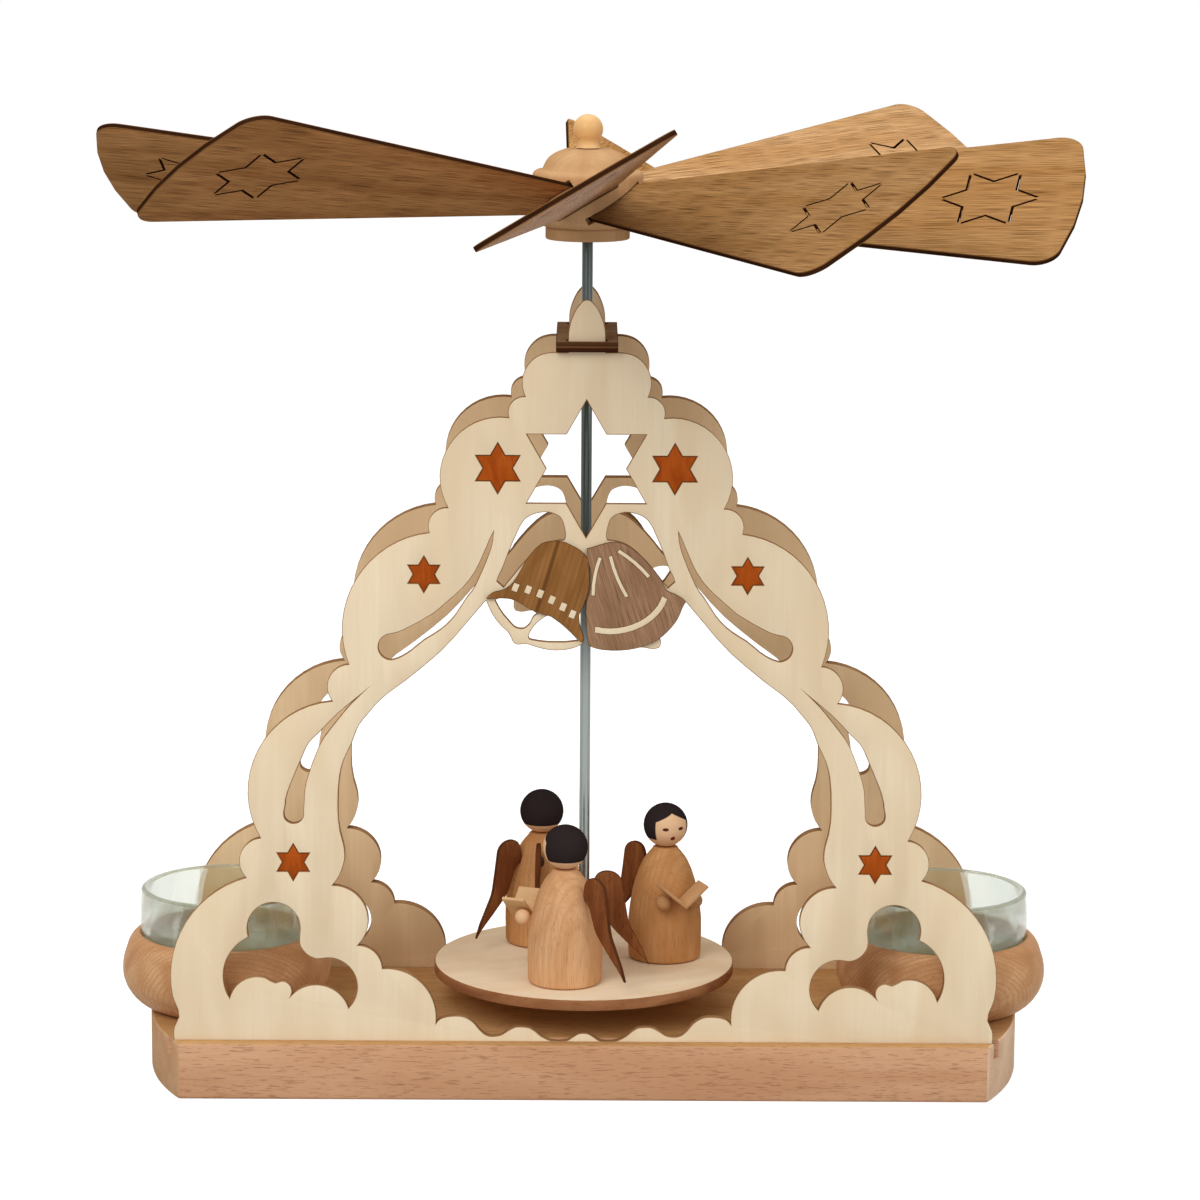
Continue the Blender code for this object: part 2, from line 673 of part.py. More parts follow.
def make_holder(side, x):
    rim_radius = glass_radius + seat_gap + holder_rim_wall
    foot_radius, belly_radius = rim_radius - holder_foot_inset, rim_radius + holder_belly
    outer = [
        (foot_radius + share * (belly_radius - foot_radius), rise * holder_height)
        for share, rise in holder_shares
    ]
    recess_radius = glass_radius + seat_gap
    recess = [
        (recess_radius, holder_height),
        *glass_heel(recess_radius, holder_floor, glass_heel_radius),
        (0.0, holder_floor),
    ]
    profile = [
        (0.0, -spigot_length), (spigot_radius, -spigot_length), (spigot_radius, 0.0),
        *outer, (rim_radius, holder_height), *recess,
    ]
    place = Matrix.Translation((x, 0.0, base_thickness + seat_gap))
    paint(turned(f"{side}_holder", profile, holder_steps, None, place), *beech)


def glass_heel(radius, floor, rounding):
    """The rounded corner between a wall of this radius and its floor, from the wall inwards."""
    return [
        (
            radius - rounding + rounding * cos(step / heel_steps * pi / 2),
            floor + rounding - rounding * sin(step / heel_steps * pi / 2),
        )
        for step in range(heel_steps + 1)
    ]


def make_glass(side, x):
    inner = glass_radius - glass_wall
    profile = [
        (0.0, 0.0), *glass_heel(glass_radius, 0.0, glass_heel_radius)[::-1],
        (glass_radius, glass_height - glass_edge_radius),
        (glass_radius - glass_edge_radius, glass_height),
        (inner + glass_edge_radius, glass_height), (inner, glass_height - glass_edge_radius),
        *glass_heel(inner, glass_floor, glass_heel_radius - glass_wall), (0.0, glass_floor),
    ]
    place = Matrix.Translation((x, 0.0, base_thickness + holder_floor + 2 * seat_gap))
    paint(turned(f"{side}_glass", profile, holder_steps, None, place), *glass)


def table_level():
    """The top face of the turntable."""
    return base_thickness + table_clearance + table_thickness


def make_turntable(carousel):
    bore = rod_radius + seat_gap
    table = flat_cut(
        "turntable", circle(table_radius, table_steps), [circle(bore, bore_steps)],
        table_thickness, carousel,
        Matrix.Translation((0.0, 0.0, table_level() - table_thickness / 2)),
    )
    paint(table, *light_ply)
    profile = [
        (bore, 0.0), (collar_radius - collar_chamfer, 0.0), (collar_radius, collar_chamfer),
        (collar_radius, collar_height), (bore, collar_height),
    ]
    low = table_level() - table_thickness - seat_gap - collar_height
    place = Matrix.Translation((0.0, 0.0, low))
    collar = turned("turntable_collar", profile, collar_steps, carousel, place)
    paint(collar, *beech)


def hub_level():
    """The underside of the rotor hub."""
    return plate_level() + plate_thickness + hub_lift


def make_rod(carousel):
    foot = cup_bottom() + cup_floor + seat_gap
    top = hub_level() + hub_bore_depth - seat_gap
    profile = [
        (0.0, foot), (rod_point_radius, foot), (rod_radius, foot + rod_point_length),
        (rod_radius, top), (0.0, top),
    ]
    paint(turned("spindle_rod", profile, rod_steps, carousel), *steel)


def make_hub(carousel):
    bore = rod_radius + seat_gap
    outer = [(share * hub_radius, rise * hub_height) for share, rise in hub_shares]
    profile = [(0.0, hub_bore_depth), (bore, hub_bore_depth), (bore, 0.0), *outer, (0.0, hub_height)]
    place = Matrix.Translation((0.0, 0.0, hub_level()))
    hub = paint(turned("rotor_hub", profile, hub_steps, carousel, place), *maple)
    for number, seat in enumerate(blade_seats, 1):
        cut(hub, blade_slot(f"blade_slot_{number}", carousel, seat))


def ball_side(radius, middle, foot_radius):
    """The side of a ball from where it is foot_radius wide, below its middle, up to its top."""
    first = -acos(foot_radius / radius)
    angles = [first + (pi / 2 - first) * step / ball_steps for step in range(ball_steps)]
    side = [(radius * cos(angle), middle + radius * sin(angle)) for angle in angles]
    return [*side, (0.0, middle + radius)]


def make_knob(carousel):
    ball = ball_side(knob_radius, knob_centre, knob_neck_radius)
    profile = [(0.0, 0.0), (knob_neck_radius, 0.0), *ball]
    place = Matrix.Translation((0.0, 0.0, hub_level() + hub_height + seat_gap))
    paint(turned("rotor_knob", profile, knob_steps, carousel, place), *maple)


def blade_place(seat):
    """Turn a flat blade, drawn along +X, to its place in the hub."""
    turn, rise = (radians(angle) for angle in seat)
    return (
        Matrix.Translation((0.0, 0.0, hub_level() + blade_level))
        @ Matrix.Rotation(turn, 4, "Z")
        @ Matrix.Rotation(-rise, 4, "Y")
        @ Matrix.Rotation(blade_pitch, 4, "X")
    )


def blade_slot(name, carousel, seat):
    half_chord = blade_root_chord / 2
    spread = (blade_tip_chord - blade_root_chord) / 2 / (blade_tip_radius - blade_root_radius)
    outside = hub_radius + overrun
    half_chord += spread * (outside - blade_root_radius) + seat_gap
    half = blade_thickness / 2 + seat_gap
    shape = box_shape(
        (blade_root_radius - seat_gap, -half_chord, -half), (outside, half_chord, half)
    )
    return mesh_object(name, shape, carousel, blade_place(seat))


def blade_outline():
    corner_x = blade_tip_radius - blade_tip_bulge
    root, tip = blade_root_chord / 2, blade_tip_chord / 2
    way = Vector((corner_x - blade_root_radius, tip - root)).normalized() * blade_corner
    edge = tip - blade_corner
    end_x = corner_x + blade_tip_bulge * (1 - (edge / tip) ** 2)
    bulge_share = (blade_tip_radius - end_x) / edge
    return arcs_through([
        (blade_root_radius, root, 0.0), (blade_root_radius, -root, 0.0),
        (corner_x - way.x, -tip + way.y, 0.0), (end_x, -edge, blade_corner_bulge_share),
        (end_x, edge, bulge_share), (corner_x - way.x, tip - way.y, blade_corner_bulge_share),
    ])


def star_slits():
    """Six V-shaped saw cuts along the star's edges that leave its tips joined to the blade."""
    corners = star((0.0, 0.0), blade_star_radius)
    slits = []
    for notch in range(1, len(corners), 2):
        middle = Vector(corners[notch])
        ends = [
            middle.lerp(Vector(corners[(notch + step) % len(corners)]), slit_reach_share)
            for step in (-1, 1)
        ]
        line = [ends[0], middle, ends[1]]
        shift = middle.normalized() * slit_width / 2
        outer = [point + shift for point in line]
        inner = [point - shift for point in reversed(line)]
        turned_points = [
            (point.y + blade_tip_radius - blade_star_inset, point.x) for point in outer + inner
        ]
        slits.append(turned_points)
    return slits


def make_blade(number, seat, carousel):
    blade = flat_cut(
        f"blade_{number}", blade_outline(), star_slits(), blade_thickness, carousel, blade_place(seat)
    )
    paint(blade, *oak_veneer)


def body_radius_at(height):
    """The figure's radius at a height above the table, read along its turned profile."""
    level = height / body_height
    for (low_share, low), (high_share, high) in zip(body_shares, body_shares[1:]):
        if low <= level <= high:
            part = (level - low) / (high - low)
            return body_radius * (low_share + part * (high_share - low_share))
    return body_radius


def make_figure(number, seat, carousel):
    """One figure: turned body and head, two leaf-shaped wings, ball hands and a songbook."""
    place, look = (radians(angle) for angle in seat)
    centre = Matrix.Translation((
        figure_orbit * cos(place), figure_orbit * sin(place), table_level() + seat_gap
    ))
    stand = new_object(f"angel_{number}", None, carousel, centre @ Matrix.Rotation(look, 4, "Z"))
    name = f"angel_{number}"
    profile = [(0.0, 0.0), *((r * body_radius, h * body_height) for r, h in body_shares)]
    profile.append((0.0, body_height))
    paint(turned(f"{name}_body", profile, body_steps, stand), *figure_wood)
    make_head(name, stand)
    for side, way in (("left", 1), ("right", -1)):
        make_wing(f"{name}_{side}_wing", way, stand)
        make_hand(f"{name}_{side}_hand", way, stand)
    make_songbook(name, stand)


def head_centre():
    return body_height + seat_gap + head_cut_share * head_radius


def make_head(name, stand):
    foot_radius = head_radius * sqrt(1 - head_cut_share ** 2)
    profile = [(0.0, -head_cut_share * head_radius), *ball_side(head_radius, 0.0, foot_radius)]
    place = Matrix.Translation((0.0, 0.0, head_centre()))
    paint(turned(f"{name}_head", profile, head_steps, stand, place), *skin_wood)


def make_wing(name, way, stand):
    """A flat leaf in an upright plane, glued by its edge to the back of the body."""
    outline = [
        (reach * wing_reach, (wing_root_share - down) * wing_length)
        for reach, down in wing_shares
    ]
    root = body_radius_at(wing_root_height) + seat_gap
    place = (
        Matrix.Rotation(pi - way * wing_splay, 4, "Z")
        @ Matrix.Translation((root, 0.0, wing_root_height))
        @ Matrix.Rotation(pi / 2, 4, "X")
    )
    paint(flat_cut(name, outline, [], wing_thickness, stand, place), *wing_wood)


def hand_reach():
    """How far in front of the figure's middle each hand touches its body."""
    reach = body_radius_at(hand_height) + hand_radius + seat_gap
    return sqrt(reach ** 2 - hand_spread ** 2)


def make_hand(name, way, stand):
    shape = bmesh.new()
    bmesh.ops.create_icosphere(shape, subdivisions=2, radius=hand_radius)
    place = Matrix.Translation((hand_reach(), way * hand_spread, hand_height))
    paint(mesh_object(name, shape, stand, place), *skin_wood)


def make_songbook(name, stand):
    """Two boards that meet at the spine, laid open on both hands."""
    half = page_thickness / 2
    along = Vector((cos(page_rise), sin(page_rise)))
    over = Vector((-sin(page_rise), cos(page_rise)))
    spine_low = -half / cos(page_rise)
    right_low = along * page_width - over * half
    right_high = along * page_width + over * half
    outline = [
        (0.0, spine_low), (right_low.x, right_low.y), (right_high.x, right_high.y),
        (0.0, -spine_low), (-right_high.x, right_high.y), (-right_low.x, right_low.y),
    ]
    reach_to_board = hand_radius + seat_gap + half
    spine = hand_height + reach_to_board / cos(page_rise) - hand_spread * tan(page_rise)
    near = max(body_radius_at(spine), body_radius_at(hand_height)) + seat_gap
    place = Matrix.Translation((near + page_depth / 2, 0.0, spine)) @ Matrix((
        (0.0, 0.0, 1.0, 0.0), (1.0, 0.0, 0.0, 0.0), (0.0, 1.0, 0.0, 0.0), (0.0, 0.0, 0.0, 1.0),
    ))
    paint(flat_cut(f"{name}_songbook", outline, [], page_depth, stand, place), *light_ply)


for thing in list(bpy.data.objects):
    bpy.data.objects.remove(thing)

planes = [make_arch(side, turn) for side, turn in (("front", 0.0), ("back", pi))]
make_base(planes)
make_bearing_plate()
make_bearing_cup()
for side, x in (("left", -holder_offset), ("right", holder_offset)):
    make_holder(side, x)
    make_glass(side, x)

carousel = new_object("carousel", None)
make_rod(carousel)
make_turntable(carousel)
make_hub(carousel)
make_knob(carousel)
for number, seat in enumerate(blade_seats, 1):
    make_blade(number, seat, carousel)
for number, seat in enumerate(figure_seats, 1):
    make_figure(number, seat, carousel)
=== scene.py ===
"""Looks of the candle carousel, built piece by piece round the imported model.

The sections follow the object as it is put together: board, arches, stars, bells, bearing
plate, holders, glasses, spindle, table, hub, blades and figures.
"""

import bmesh
import bpy
from math import atan2, ceil, cos, pi, radians, sin
from mathutils import Matrix, Vector


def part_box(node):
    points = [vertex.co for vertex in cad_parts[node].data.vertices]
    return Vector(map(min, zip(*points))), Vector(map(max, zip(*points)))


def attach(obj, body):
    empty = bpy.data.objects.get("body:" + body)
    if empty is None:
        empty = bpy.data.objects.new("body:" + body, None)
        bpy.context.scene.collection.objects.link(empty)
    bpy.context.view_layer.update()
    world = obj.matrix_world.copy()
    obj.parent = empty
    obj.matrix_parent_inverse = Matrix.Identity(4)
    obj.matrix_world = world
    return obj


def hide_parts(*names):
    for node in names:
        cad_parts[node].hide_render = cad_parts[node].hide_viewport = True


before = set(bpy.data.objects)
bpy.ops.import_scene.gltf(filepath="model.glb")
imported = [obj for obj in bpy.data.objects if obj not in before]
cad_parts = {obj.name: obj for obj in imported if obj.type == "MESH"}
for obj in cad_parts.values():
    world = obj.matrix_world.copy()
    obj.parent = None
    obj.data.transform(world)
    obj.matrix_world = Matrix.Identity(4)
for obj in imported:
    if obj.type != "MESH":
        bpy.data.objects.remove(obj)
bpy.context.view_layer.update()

# The view: a white studio table seen from a little above, with a long lens.
# Soft lamps light the wood from the front, the side and above, each with its place, its width
# in metres and its power in watts.
camera_place = Vector((0.0, -1.1201, 0.3433))
camera_pitch, camera_yaw, camera_roll = 0.185, 0.0036, 0.0060
photo_width = 1200
focal_length_px = 4042
sensor_width = 36.0
lamps = {
    "front_lamp": (Vector((-0.55, -1.0, 1.05)), 0.9, 11.0),
    "side_lamp": (Vector((0.9, -0.75, 0.65)), 0.9, 4.2),
    "top_lamp": (Vector((0.0, 0.25, 1.3)), 1.0, 5.5),
}
lamp_aim = Vector((0.0, 0.0, 0.12))
world_light = 0.42
white = (1.0, 1.0, 1.0, 1.0)
floor_half_width = 3.0
floor_grey = (0.5, 0.5, 0.5, 1.0)
floor_roughness, floor_glow_strength = 0.9, 0.8


def add_object(name, data):
    thing = bpy.data.objects.new(name, data)
    bpy.context.scene.collection.objects.link(thing)
    return thing


def set_sockets(tree, node, sockets):
    """Give each named socket its constant, or a link from another node's output."""
    for socket, value in sockets.items():
        if hasattr(value, "links"):
            tree.links.new(value, node.inputs[socket])
        else:
            node.inputs[socket].default_value = value


def add_node(tree, kind, sockets, **settings):
    """A new shader node of this kind, with its settings made and its sockets filled."""
    node = tree.nodes.new(f"ShaderNode{kind}")
    for setting, value in settings.items():
        setattr(node, setting, value)
    set_sockets(tree, node, sockets)
    return node


def math_node(tree, operation, *values):
    return add_node(tree, "Math", dict(enumerate(values)), operation=operation).outputs[0]


def seen_directly(tree):
    """A factor that is 1 for rays from the eye, off gloss and through glass."""
    rays = add_node(tree, "LightPath", {}).outputs
    eye_or_gloss = math_node(tree, "MAXIMUM", rays["Is Camera Ray"], rays["Is Glossy Ray"])
    return math_node(tree, "MAXIMUM", eye_or_gloss, rays["Is Transmission Ray"])


def show_mix(tree, factor, first, second, output="Material Output"):
    """Show a mix of two shader nodes; at a factor of 1 only the second one shows."""
    mix = add_node(tree, "MixShader", {0: factor, 1: first.outputs[0], 2: second.outputs[0]})
    tree.links.new(mix.outputs[0], tree.nodes[output].inputs["Surface"])


def new_finish(name, sockets):
    """A new material, its node tree, and its main shader with these sockets set."""
    finish = bpy.data.materials.new(name)
    finish.use_nodes = True
    shader = finish.node_tree.nodes["Principled BSDF"]
    set_sockets(finish.node_tree, shader, sockets)
    return finish, finish.node_tree, shader


forward = Vector((
    sin(camera_yaw) * cos(camera_pitch), cos(camera_yaw) * cos(camera_pitch), -sin(camera_pitch)
))
level_right = Vector((cos(camera_yaw), -sin(camera_yaw), 0.0))
level_up = level_right.cross(forward)
right = cos(camera_roll) * level_right + sin(camera_roll) * level_up
up = cos(camera_roll) * level_up - sin(camera_roll) * level_right
lens = bpy.data.cameras.new("camera")
lens.sensor_width = sensor_width
lens.lens = focal_length_px / photo_width * sensor_width
camera = add_object("camera", lens)
camera.matrix_world = Matrix.Translation(camera_place) @ Matrix((right, up, -forward)).transposed().to_4x4()
bpy.context.scene.camera = camera
bpy.context.scene.view_settings.view_transform = "Standard"

for lamp_name, (place, width, power) in lamps.items():
    light = bpy.data.lights.new(lamp_name, "AREA")
    light.shape = "SQUARE"
    light.size = width
    light.energy = power
    turn = (lamp_aim - place).to_track_quat("-Z", "Y").to_matrix().to_4x4()
    add_object(lamp_name, light).matrix_world = Matrix.Translation(place) @ turn

world = bpy.data.worlds.new("studio")
world.use_nodes = True
bpy.context.scene.world = world
sky = world.node_tree
sky_light = sky.nodes["Background"]
set_sockets(sky, sky_light, {"Color": white, "Strength": world_light})
backdrop = add_node(sky, "Background", {"Color": white})
show_mix(sky, seen_directly(sky), sky_light, backdrop, "World Output")

floor_shape = bmesh.new()
bmesh.ops.create_grid(floor_shape, x_segments=1, y_segments=1, size=floor_half_width)
floor_mesh = bpy.data.meshes.new("floor")
floor_shape.to_mesh(floor_mesh)
floor_shape.free()
floor = add_object("floor", floor_mesh)
floor_finish, floor_tree, floor_shader = new_finish("floor", {
    "Base Color": floor_grey, "Roughness": floor_roughness, "Specular IOR Level": 0.0,
})
floor_glow = add_node(floor_tree, "Emission", {"Strength": floor_glow_strength})
floor_sum = add_node(floor_tree, "AddShader", {0: floor_shader.outputs[0], 1: floor_glow.outputs[0]})
show_mix(floor_tree, seen_directly(floor_tree), floor_shader, floor_sum)
floor.data.materials.append(floor_finish)

# Base board: solid beech, planed and sanded, with rounded ends and eased edges.
# Two sawn grooves take the arches, and run out through both ends.
board_low, board_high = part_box("base_board")
corner_length = 0.225
end_steps = 24
board_edge_radius, board_edge_steps = 0.0009, 3
board_rim_angle, smooth_angle = radians(60), radians(32)
groove_offset, groove_depth = 0.0375, 0.0047
arch_lean = radians(5.18)
sheet_thickness, glue_gap = 0.003, 0.0003
groove_length, slab_height = 0.3, 0.02
millimetre = 0.001
cloud_rise, fibre_rise, ring_rise = (0.3, 0.7), (0.35, 0.75), (0.45, 0.95)
fibre_strength, fleck_blur = 0.45, 0.06
ring_squeeze = (0.12, 1.0, 1.0)
roughness_play, relief_depth = 0.2, 0.0003


def linear(value):
    """One 0 to 255 display value as the linear value that shaders take."""
    share = value / 255
    return share / 12.92 if share <= 0.04045 else ((share + 0.055) / 1.055) ** 2.4


def tone(red, green, blue):
    return (linear(red), linear(green), linear(blue), 1.0)


def mix_colours(tree, factor, first, second):
    return add_node(tree, "Mix", {0: factor, 6: first, 7: second}, data_type="RGBA").outputs[2]


def noise(tree, place, scale, detail=3.0, roughness=0.55, distortion=0.0):
    """Noise on coordinates stretched by a vector of scales."""
    stretch = add_node(tree, "Mapping", {"Vector": place, "Scale": scale})
    return add_node(tree, "TexNoise", {
        "Vector": stretch.outputs[0], "Scale": 1.0, "Detail": detail, "Roughness": roughness,
        "Distortion": distortion,
    }).outputs["Fac"]


def between(tree, value, low, high):
    """0 below low and 1 above high, with a smooth rise in between."""
    return add_node(
        tree, "MapRange", {"Value": value, "From Min": low, "From Max": high},
        interpolation_type="SMOOTHSTEP",
    ).outputs["Result"]


def grain_place(tree, source, turn, centre):
    """Coordinates in millimetres whose X runs along the grain."""
    coordinates = add_node(tree, "TexCoord", {}).outputs[source]
    return add_node(tree, "Mapping", {
        "Vector": coordinates, "Location": centre, "Rotation": turn, "Scale": (millimetre,) * 3,
    }, vector_type="TEXTURE").outputs[0]


def wood(name, colours, source="Object", turn=(0.0, 0.0, 0.0), centre=(0.0, 0.0, 0.0),
         cloud=(0.02, 0.09, 0.09), fibre=(0.09, 2.4, 2.4), fleck=(0.35, 3.2, 3.2),
         fleck_share=0.30, fleck_strength=0.55, rings=0.0, ring_scale=0.5,
         roughness=0.55, relief=0.05, sheen=0.0, coat=0.0):
    """A waxed wood: broad clouds of tone, fine fibres and short dark flecks along the grain."""
    pale, deep, dark = colours
    finish, tree, shader = new_finish(name, {"Specular IOR Level": sheen, "Coat Weight": coat})
    place = grain_place(tree, source, turn, centre)
    broad = noise(tree, place, cloud, detail=2.0, distortion=0.6)
    fine = noise(tree, place, fibre, detail=4.0, roughness=0.6)
    colour = mix_colours(tree, between(tree, broad, *cloud_rise), pale, deep)
    if rings:
        squeeze = add_node(tree, "Mapping", {"Vector": place, "Scale": ring_squeeze})
        wave = add_node(tree, "TexWave", {
            "Vector": squeeze.outputs[0], "Scale": ring_scale, "Distortion": 5.0, "Detail": 2.0,
            "Detail Scale": 0.6,
        }, wave_type="BANDS", bands_direction="Y")
        line = math_node(tree, "MULTIPLY", between(tree, wave.outputs["Fac"], *ring_rise), rings)
        colour = mix_colours(tree, line, colour, deep)
    fibres = math_node(tree, "MULTIPLY", between(tree, fine, *fibre_rise), fibre_strength)
    colour = mix_colours(tree, fibres, colour, deep)
    spots = noise(tree, place, fleck, detail=1.0)
    mark_start = 1 - fleck_share
    marks = between(tree, spots, mark_start - fleck_blur, mark_start + fleck_blur)
    mark = math_node(tree, "MULTIPLY", marks, fleck_strength)
    play = math_node(tree, "MULTIPLY", fine, roughness_play)
    set_sockets(tree, shader, {
        "Base Color": mix_colours(tree, mark, colour, dark),
        "Roughness": math_node(tree, "ADD", play, roughness - roughness_play / 2),
    })
    if relief:
        height = math_node(tree, "SUBTRACT", fine, mark)
        bump = add_node(tree, "Bump", {"Strength": relief, "Distance": relief_depth, "Height": height})
        set_sockets(tree, shader, {"Normal": bump.outputs[0]})
    return finish


def finished(name, shape, materials, body, nodes):
    """Make the piece, ride it on its body and hide the CAD nodes that it stands for."""
    mesh = bpy.data.meshes.new(name)
    shape.to_mesh(mesh)
    shape.free()
    for material in materials:
        mesh.materials.append(material)
    piece = add_object(name, mesh)
    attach(piece, body)
    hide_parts(*nodes)
    return piece


def shade_by_angle(piece):
    piece.data.shade_smooth()
    piece.data.set_sharp_from_angle(angle=smooth_angle)


def end_arc(half_length, half_depth, bulge, steps):
    """Points of the bowed right-hand end of the board, from front to back."""
    radius = (half_depth ** 2 + bulge ** 2) / (2 * bulge)
    reach = atan2(half_depth, radius - bulge)
    return [
        (half_length + bulge - radius + radius * cos(angle), radius * sin(angle))
        for angle in (reach * (2 * step / steps - 1) for step in range(steps + 1))
    ]


def saw_slot(piece, size, place):
    """Saw a straight slot out of a piece for good, where the matrix puts its middle."""
    slot_shape = bmesh.new()
    bmesh.ops.create_cube(slot_shape, size=1.0)
    bmesh.ops.scale(slot_shape, vec=size, verts=slot_shape.verts)
    bmesh.ops.transform(slot_shape, matrix=place, verts=slot_shape.verts)
    cutter_mesh = bpy.data.meshes.new("cutter")
    slot_shape.to_mesh(cutter_mesh)
    slot_shape.free()
    cutter = add_object("cutter", cutter_mesh)
    saw = piece.modifiers.new("saw", "BOOLEAN")
    saw.object = cutter
    saw.operation = "DIFFERENCE"
    saw.solver = "EXACT"
    bpy.context.view_layer.update()
    sawn = bpy.data.meshes.new_from_object(piece.evaluated_get(bpy.context.evaluated_depsgraph_get()))
    piece.modifiers.clear()
    piece.data = sawn
    bpy.data.objects.remove(cutter)


board_end = end_arc(corner_length / 2, board_high.y, board_high.x - corner_length / 2, end_steps)
board_outline = board_end + [(-x, -y) for x, y in board_end]
board_shape = bmesh.new()
board_face = board_shape.faces.new([board_shape.verts.new((x, y, board_low.z)) for x, y in board_outline])
raised = bmesh.ops.extrude_face_region(board_shape, geom=[board_face])["geom"]
bmesh.ops.translate(
    board_shape, vec=(0.0, 0.0, board_high.z - board_low.z),
    verts=[item for item in raised if isinstance(item, bmesh.types.BMVert)],
)
bmesh.ops.recalc_face_normals(board_shape, faces=board_shape.faces)
bmesh.ops.bevel(
    board_shape, geom=[edge for edge in board_shape.edges if edge.calc_face_angle(0) > board_rim_angle],
    offset=board_edge_radius, segments=board_edge_steps, profile=0.5, affect="EDGES", material=-1,
)
board_grain = {
    "cloud": (0.012, 0.07, 0.07), "fibre": (0.1, 2.2, 2.2), "fleck": (0.28, 3.4, 3.4),
    "fleck_share": 0.37, "fleck_strength": 0.5, "relief": 0.08,
}
end_grain = {
    "cloud": (0.09, 0.09, 0.09), "fibre": (2.2, 2.2, 2.2), "fleck": (3.6, 3.6, 3.6),
    "fleck_share": 0.38, "fleck_strength": 0.3, "relief": 0.08,
}
board_woods = [
    wood("beech_board", (tone(220, 172, 134), tone(204, 152, 114), tone(140, 94, 62)),
         **board_grain, sheen=0.1),
    wood("left_end", (tone(216, 175, 136), tone(200, 155, 117), tone(140, 98, 66)), **end_grain),
    # The right end is the same end grain painted lighter: painted light from the side.
    wood("right_end_painted_light", (tone(242, 210, 178), tone(226, 190, 156), tone(162, 124, 92)), **end_grain),
    # The top face is the board's beech painted darker: painted shade from the table and the arches above it.
    wood("beech_top_painted_shade", (tone(205, 160, 110), tone(189, 142, 92), tone(128, 88, 50)), **board_grain),
]
face_slant = 0.5
board = finished("beech_base", board_shape, board_woods, "stand", ["base_board"])
# The ends and the top take their own copies. The right end is painted lighter, which is painted light, and
# the top is painted darker, which is painted shade.
for side_face in board.data.polygons:
    if abs(side_face.normal.x) > face_slant:
        side_face.material_index = 1 if side_face.normal.x < 0 else 2
    elif side_face.normal.z > face_slant:
        side_face.material_index = 3
for groove_side in (-1, 1):
    lean_turn = Matrix.Rotation(groove_side * arch_lean, 4, "X")
    sink = Matrix.Translation((0.0, 0.0, slab_height / 2 - groove_depth))
    seat = Matrix.Translation((0.0, groove_side * groove_offset, board_high.z))
    slab = (groove_length, sheet_thickness + 2 * glue_gap, slab_height)
    saw_slot(board, slab, seat @ lean_turn @ sink)
shade_by_angle(board)

# Arches: thin light plywood, scroll-sawn by hand, whose cut edges are browned and eased.
# Each is glued into its groove and leans inwards. The front one shows its outer face, and the
# back one, turned round, its inner face. The innermost layer runs on behind the inlaid stars.
weld_distance = 1e-6
same_way = 0.999
largest_faces = 8
# Corners sharper than this stay sharp. Chords of one arc are alike in length, and a chord that
# is much longer than its neighbour is a straight stretch.
corner_angle = radians(56)
like_ratio = 1.35
straight_ratio = 3.0
arc_step = radians(8)
star_corners = 12
inlay_reach = 0.009
inlay_fit = 0.00025
backing_share = 0.2
back_shift = 0.31
ply_pale, ply_deep, ply_dark = tone(239, 221, 190), tone(231, 208, 173), tone(196, 160, 120)
outward = {"front": (0.0, -1.0, 0.0), "back": (0.0, 1.0, 0.0)}
upright = Vector((0.0, 0.0, 1.0))


def node_shape(name):
    """A copy of a CAD node's mesh, with its doubled corners merged."""
    shape = bmesh.new()
    shape.from_mesh(bpy.data.objects[name].data)
    bmesh.ops.remove_doubles(shape, verts=shape.verts, dist=weld_distance)
    return shape


def eased(points, closed=True):
    """The points of a faceted outline with smooth arcs through them; sharp corners are kept."""
    points = [Vector(point) for point in points]
    count = len(points)
    chords = [points[(index + 1) % count] - point for index, point in enumerate(points)]
    turns = [
        atan2(before.cross(after), before.dot(after)) for before, after in zip([chords[-1], *chords], chords)
    ]

    def bow(chord, beyond, corner):
        """Half the turn of the arc over a chord, judged from the corner at its far end."""
        short, long = sorted((chords[chord].length, chords[beyond % count].length))
        if abs(turns[corner % count]) > corner_angle or long > like_ratio * short:
            return None
        return turns[corner % count] / 2

    tangents = []
    for index, turn in enumerate(turns):
        if abs(turn) > corner_angle or not closed and index in (0, count - 1):
            tangents.append(None)
            continue
        before, after = chords[index - 1], chords[index]
        first = bow(index - 1, index - 2, index - 1)
        last = bow(index, index + 1, index + 1)
        if first is None and before.length > straight_ratio * after.length:
            first = 0.0
        if last is None and after.length > straight_ratio * before.length:
            last = 0.0
        guesses = [first] if first is not None else []
        guesses += [turn - last] if last is not None else []
        share = turn * before.length / (before.length + after.length)
        if guesses:
            share = sum(guesses) / len(guesses)
        tangents.append(Matrix.Rotation(share, 2) @ before.normalized())
    smooth = []
    for index in range(count if closed else count - 1):
        start, end = points[index], points[(index + 1) % count]
        first, last = tangents[index], tangents[(index + 1) % count]
        along = (end - start).normalized()
        first = first or (2 * along.dot(last) * along - last if last else along)
        last = last or 2 * along.dot(first) * along - first
        turn = first.angle(last)
        pull = 2 * (end - start).length / (1 + cos(turn / 2))
        parts = max(1, ceil(turn / arc_step))
        for part in range(parts):
            way = part / parts
            smooth.append(
                start * (2 * way ** 3 - 3 * way ** 2 + 1) + first * pull * (way ** 3 - 2 * way ** 2 + way)
                + end * (3 * way ** 2 - 2 * way ** 3) + last * pull * (way ** 3 - way ** 2)
            )
    return smooth if closed else [*smooth, points[-1]]


def sheet_plane(shape, outward):
    """The unit normal of a sheet's broad faces, on the side that outward looks to."""
    broad = sorted(shape.faces, key=lambda face: face.calc_area())[-largest_faces:]

    def area_facing(way):
        return sum(face.calc_area() for face in shape.faces if face.normal.dot(way) > same_way)

    normal = max((face.normal for face in broad), key=area_facing).copy()
    return normal if normal.dot(outward) > 0 else -normal


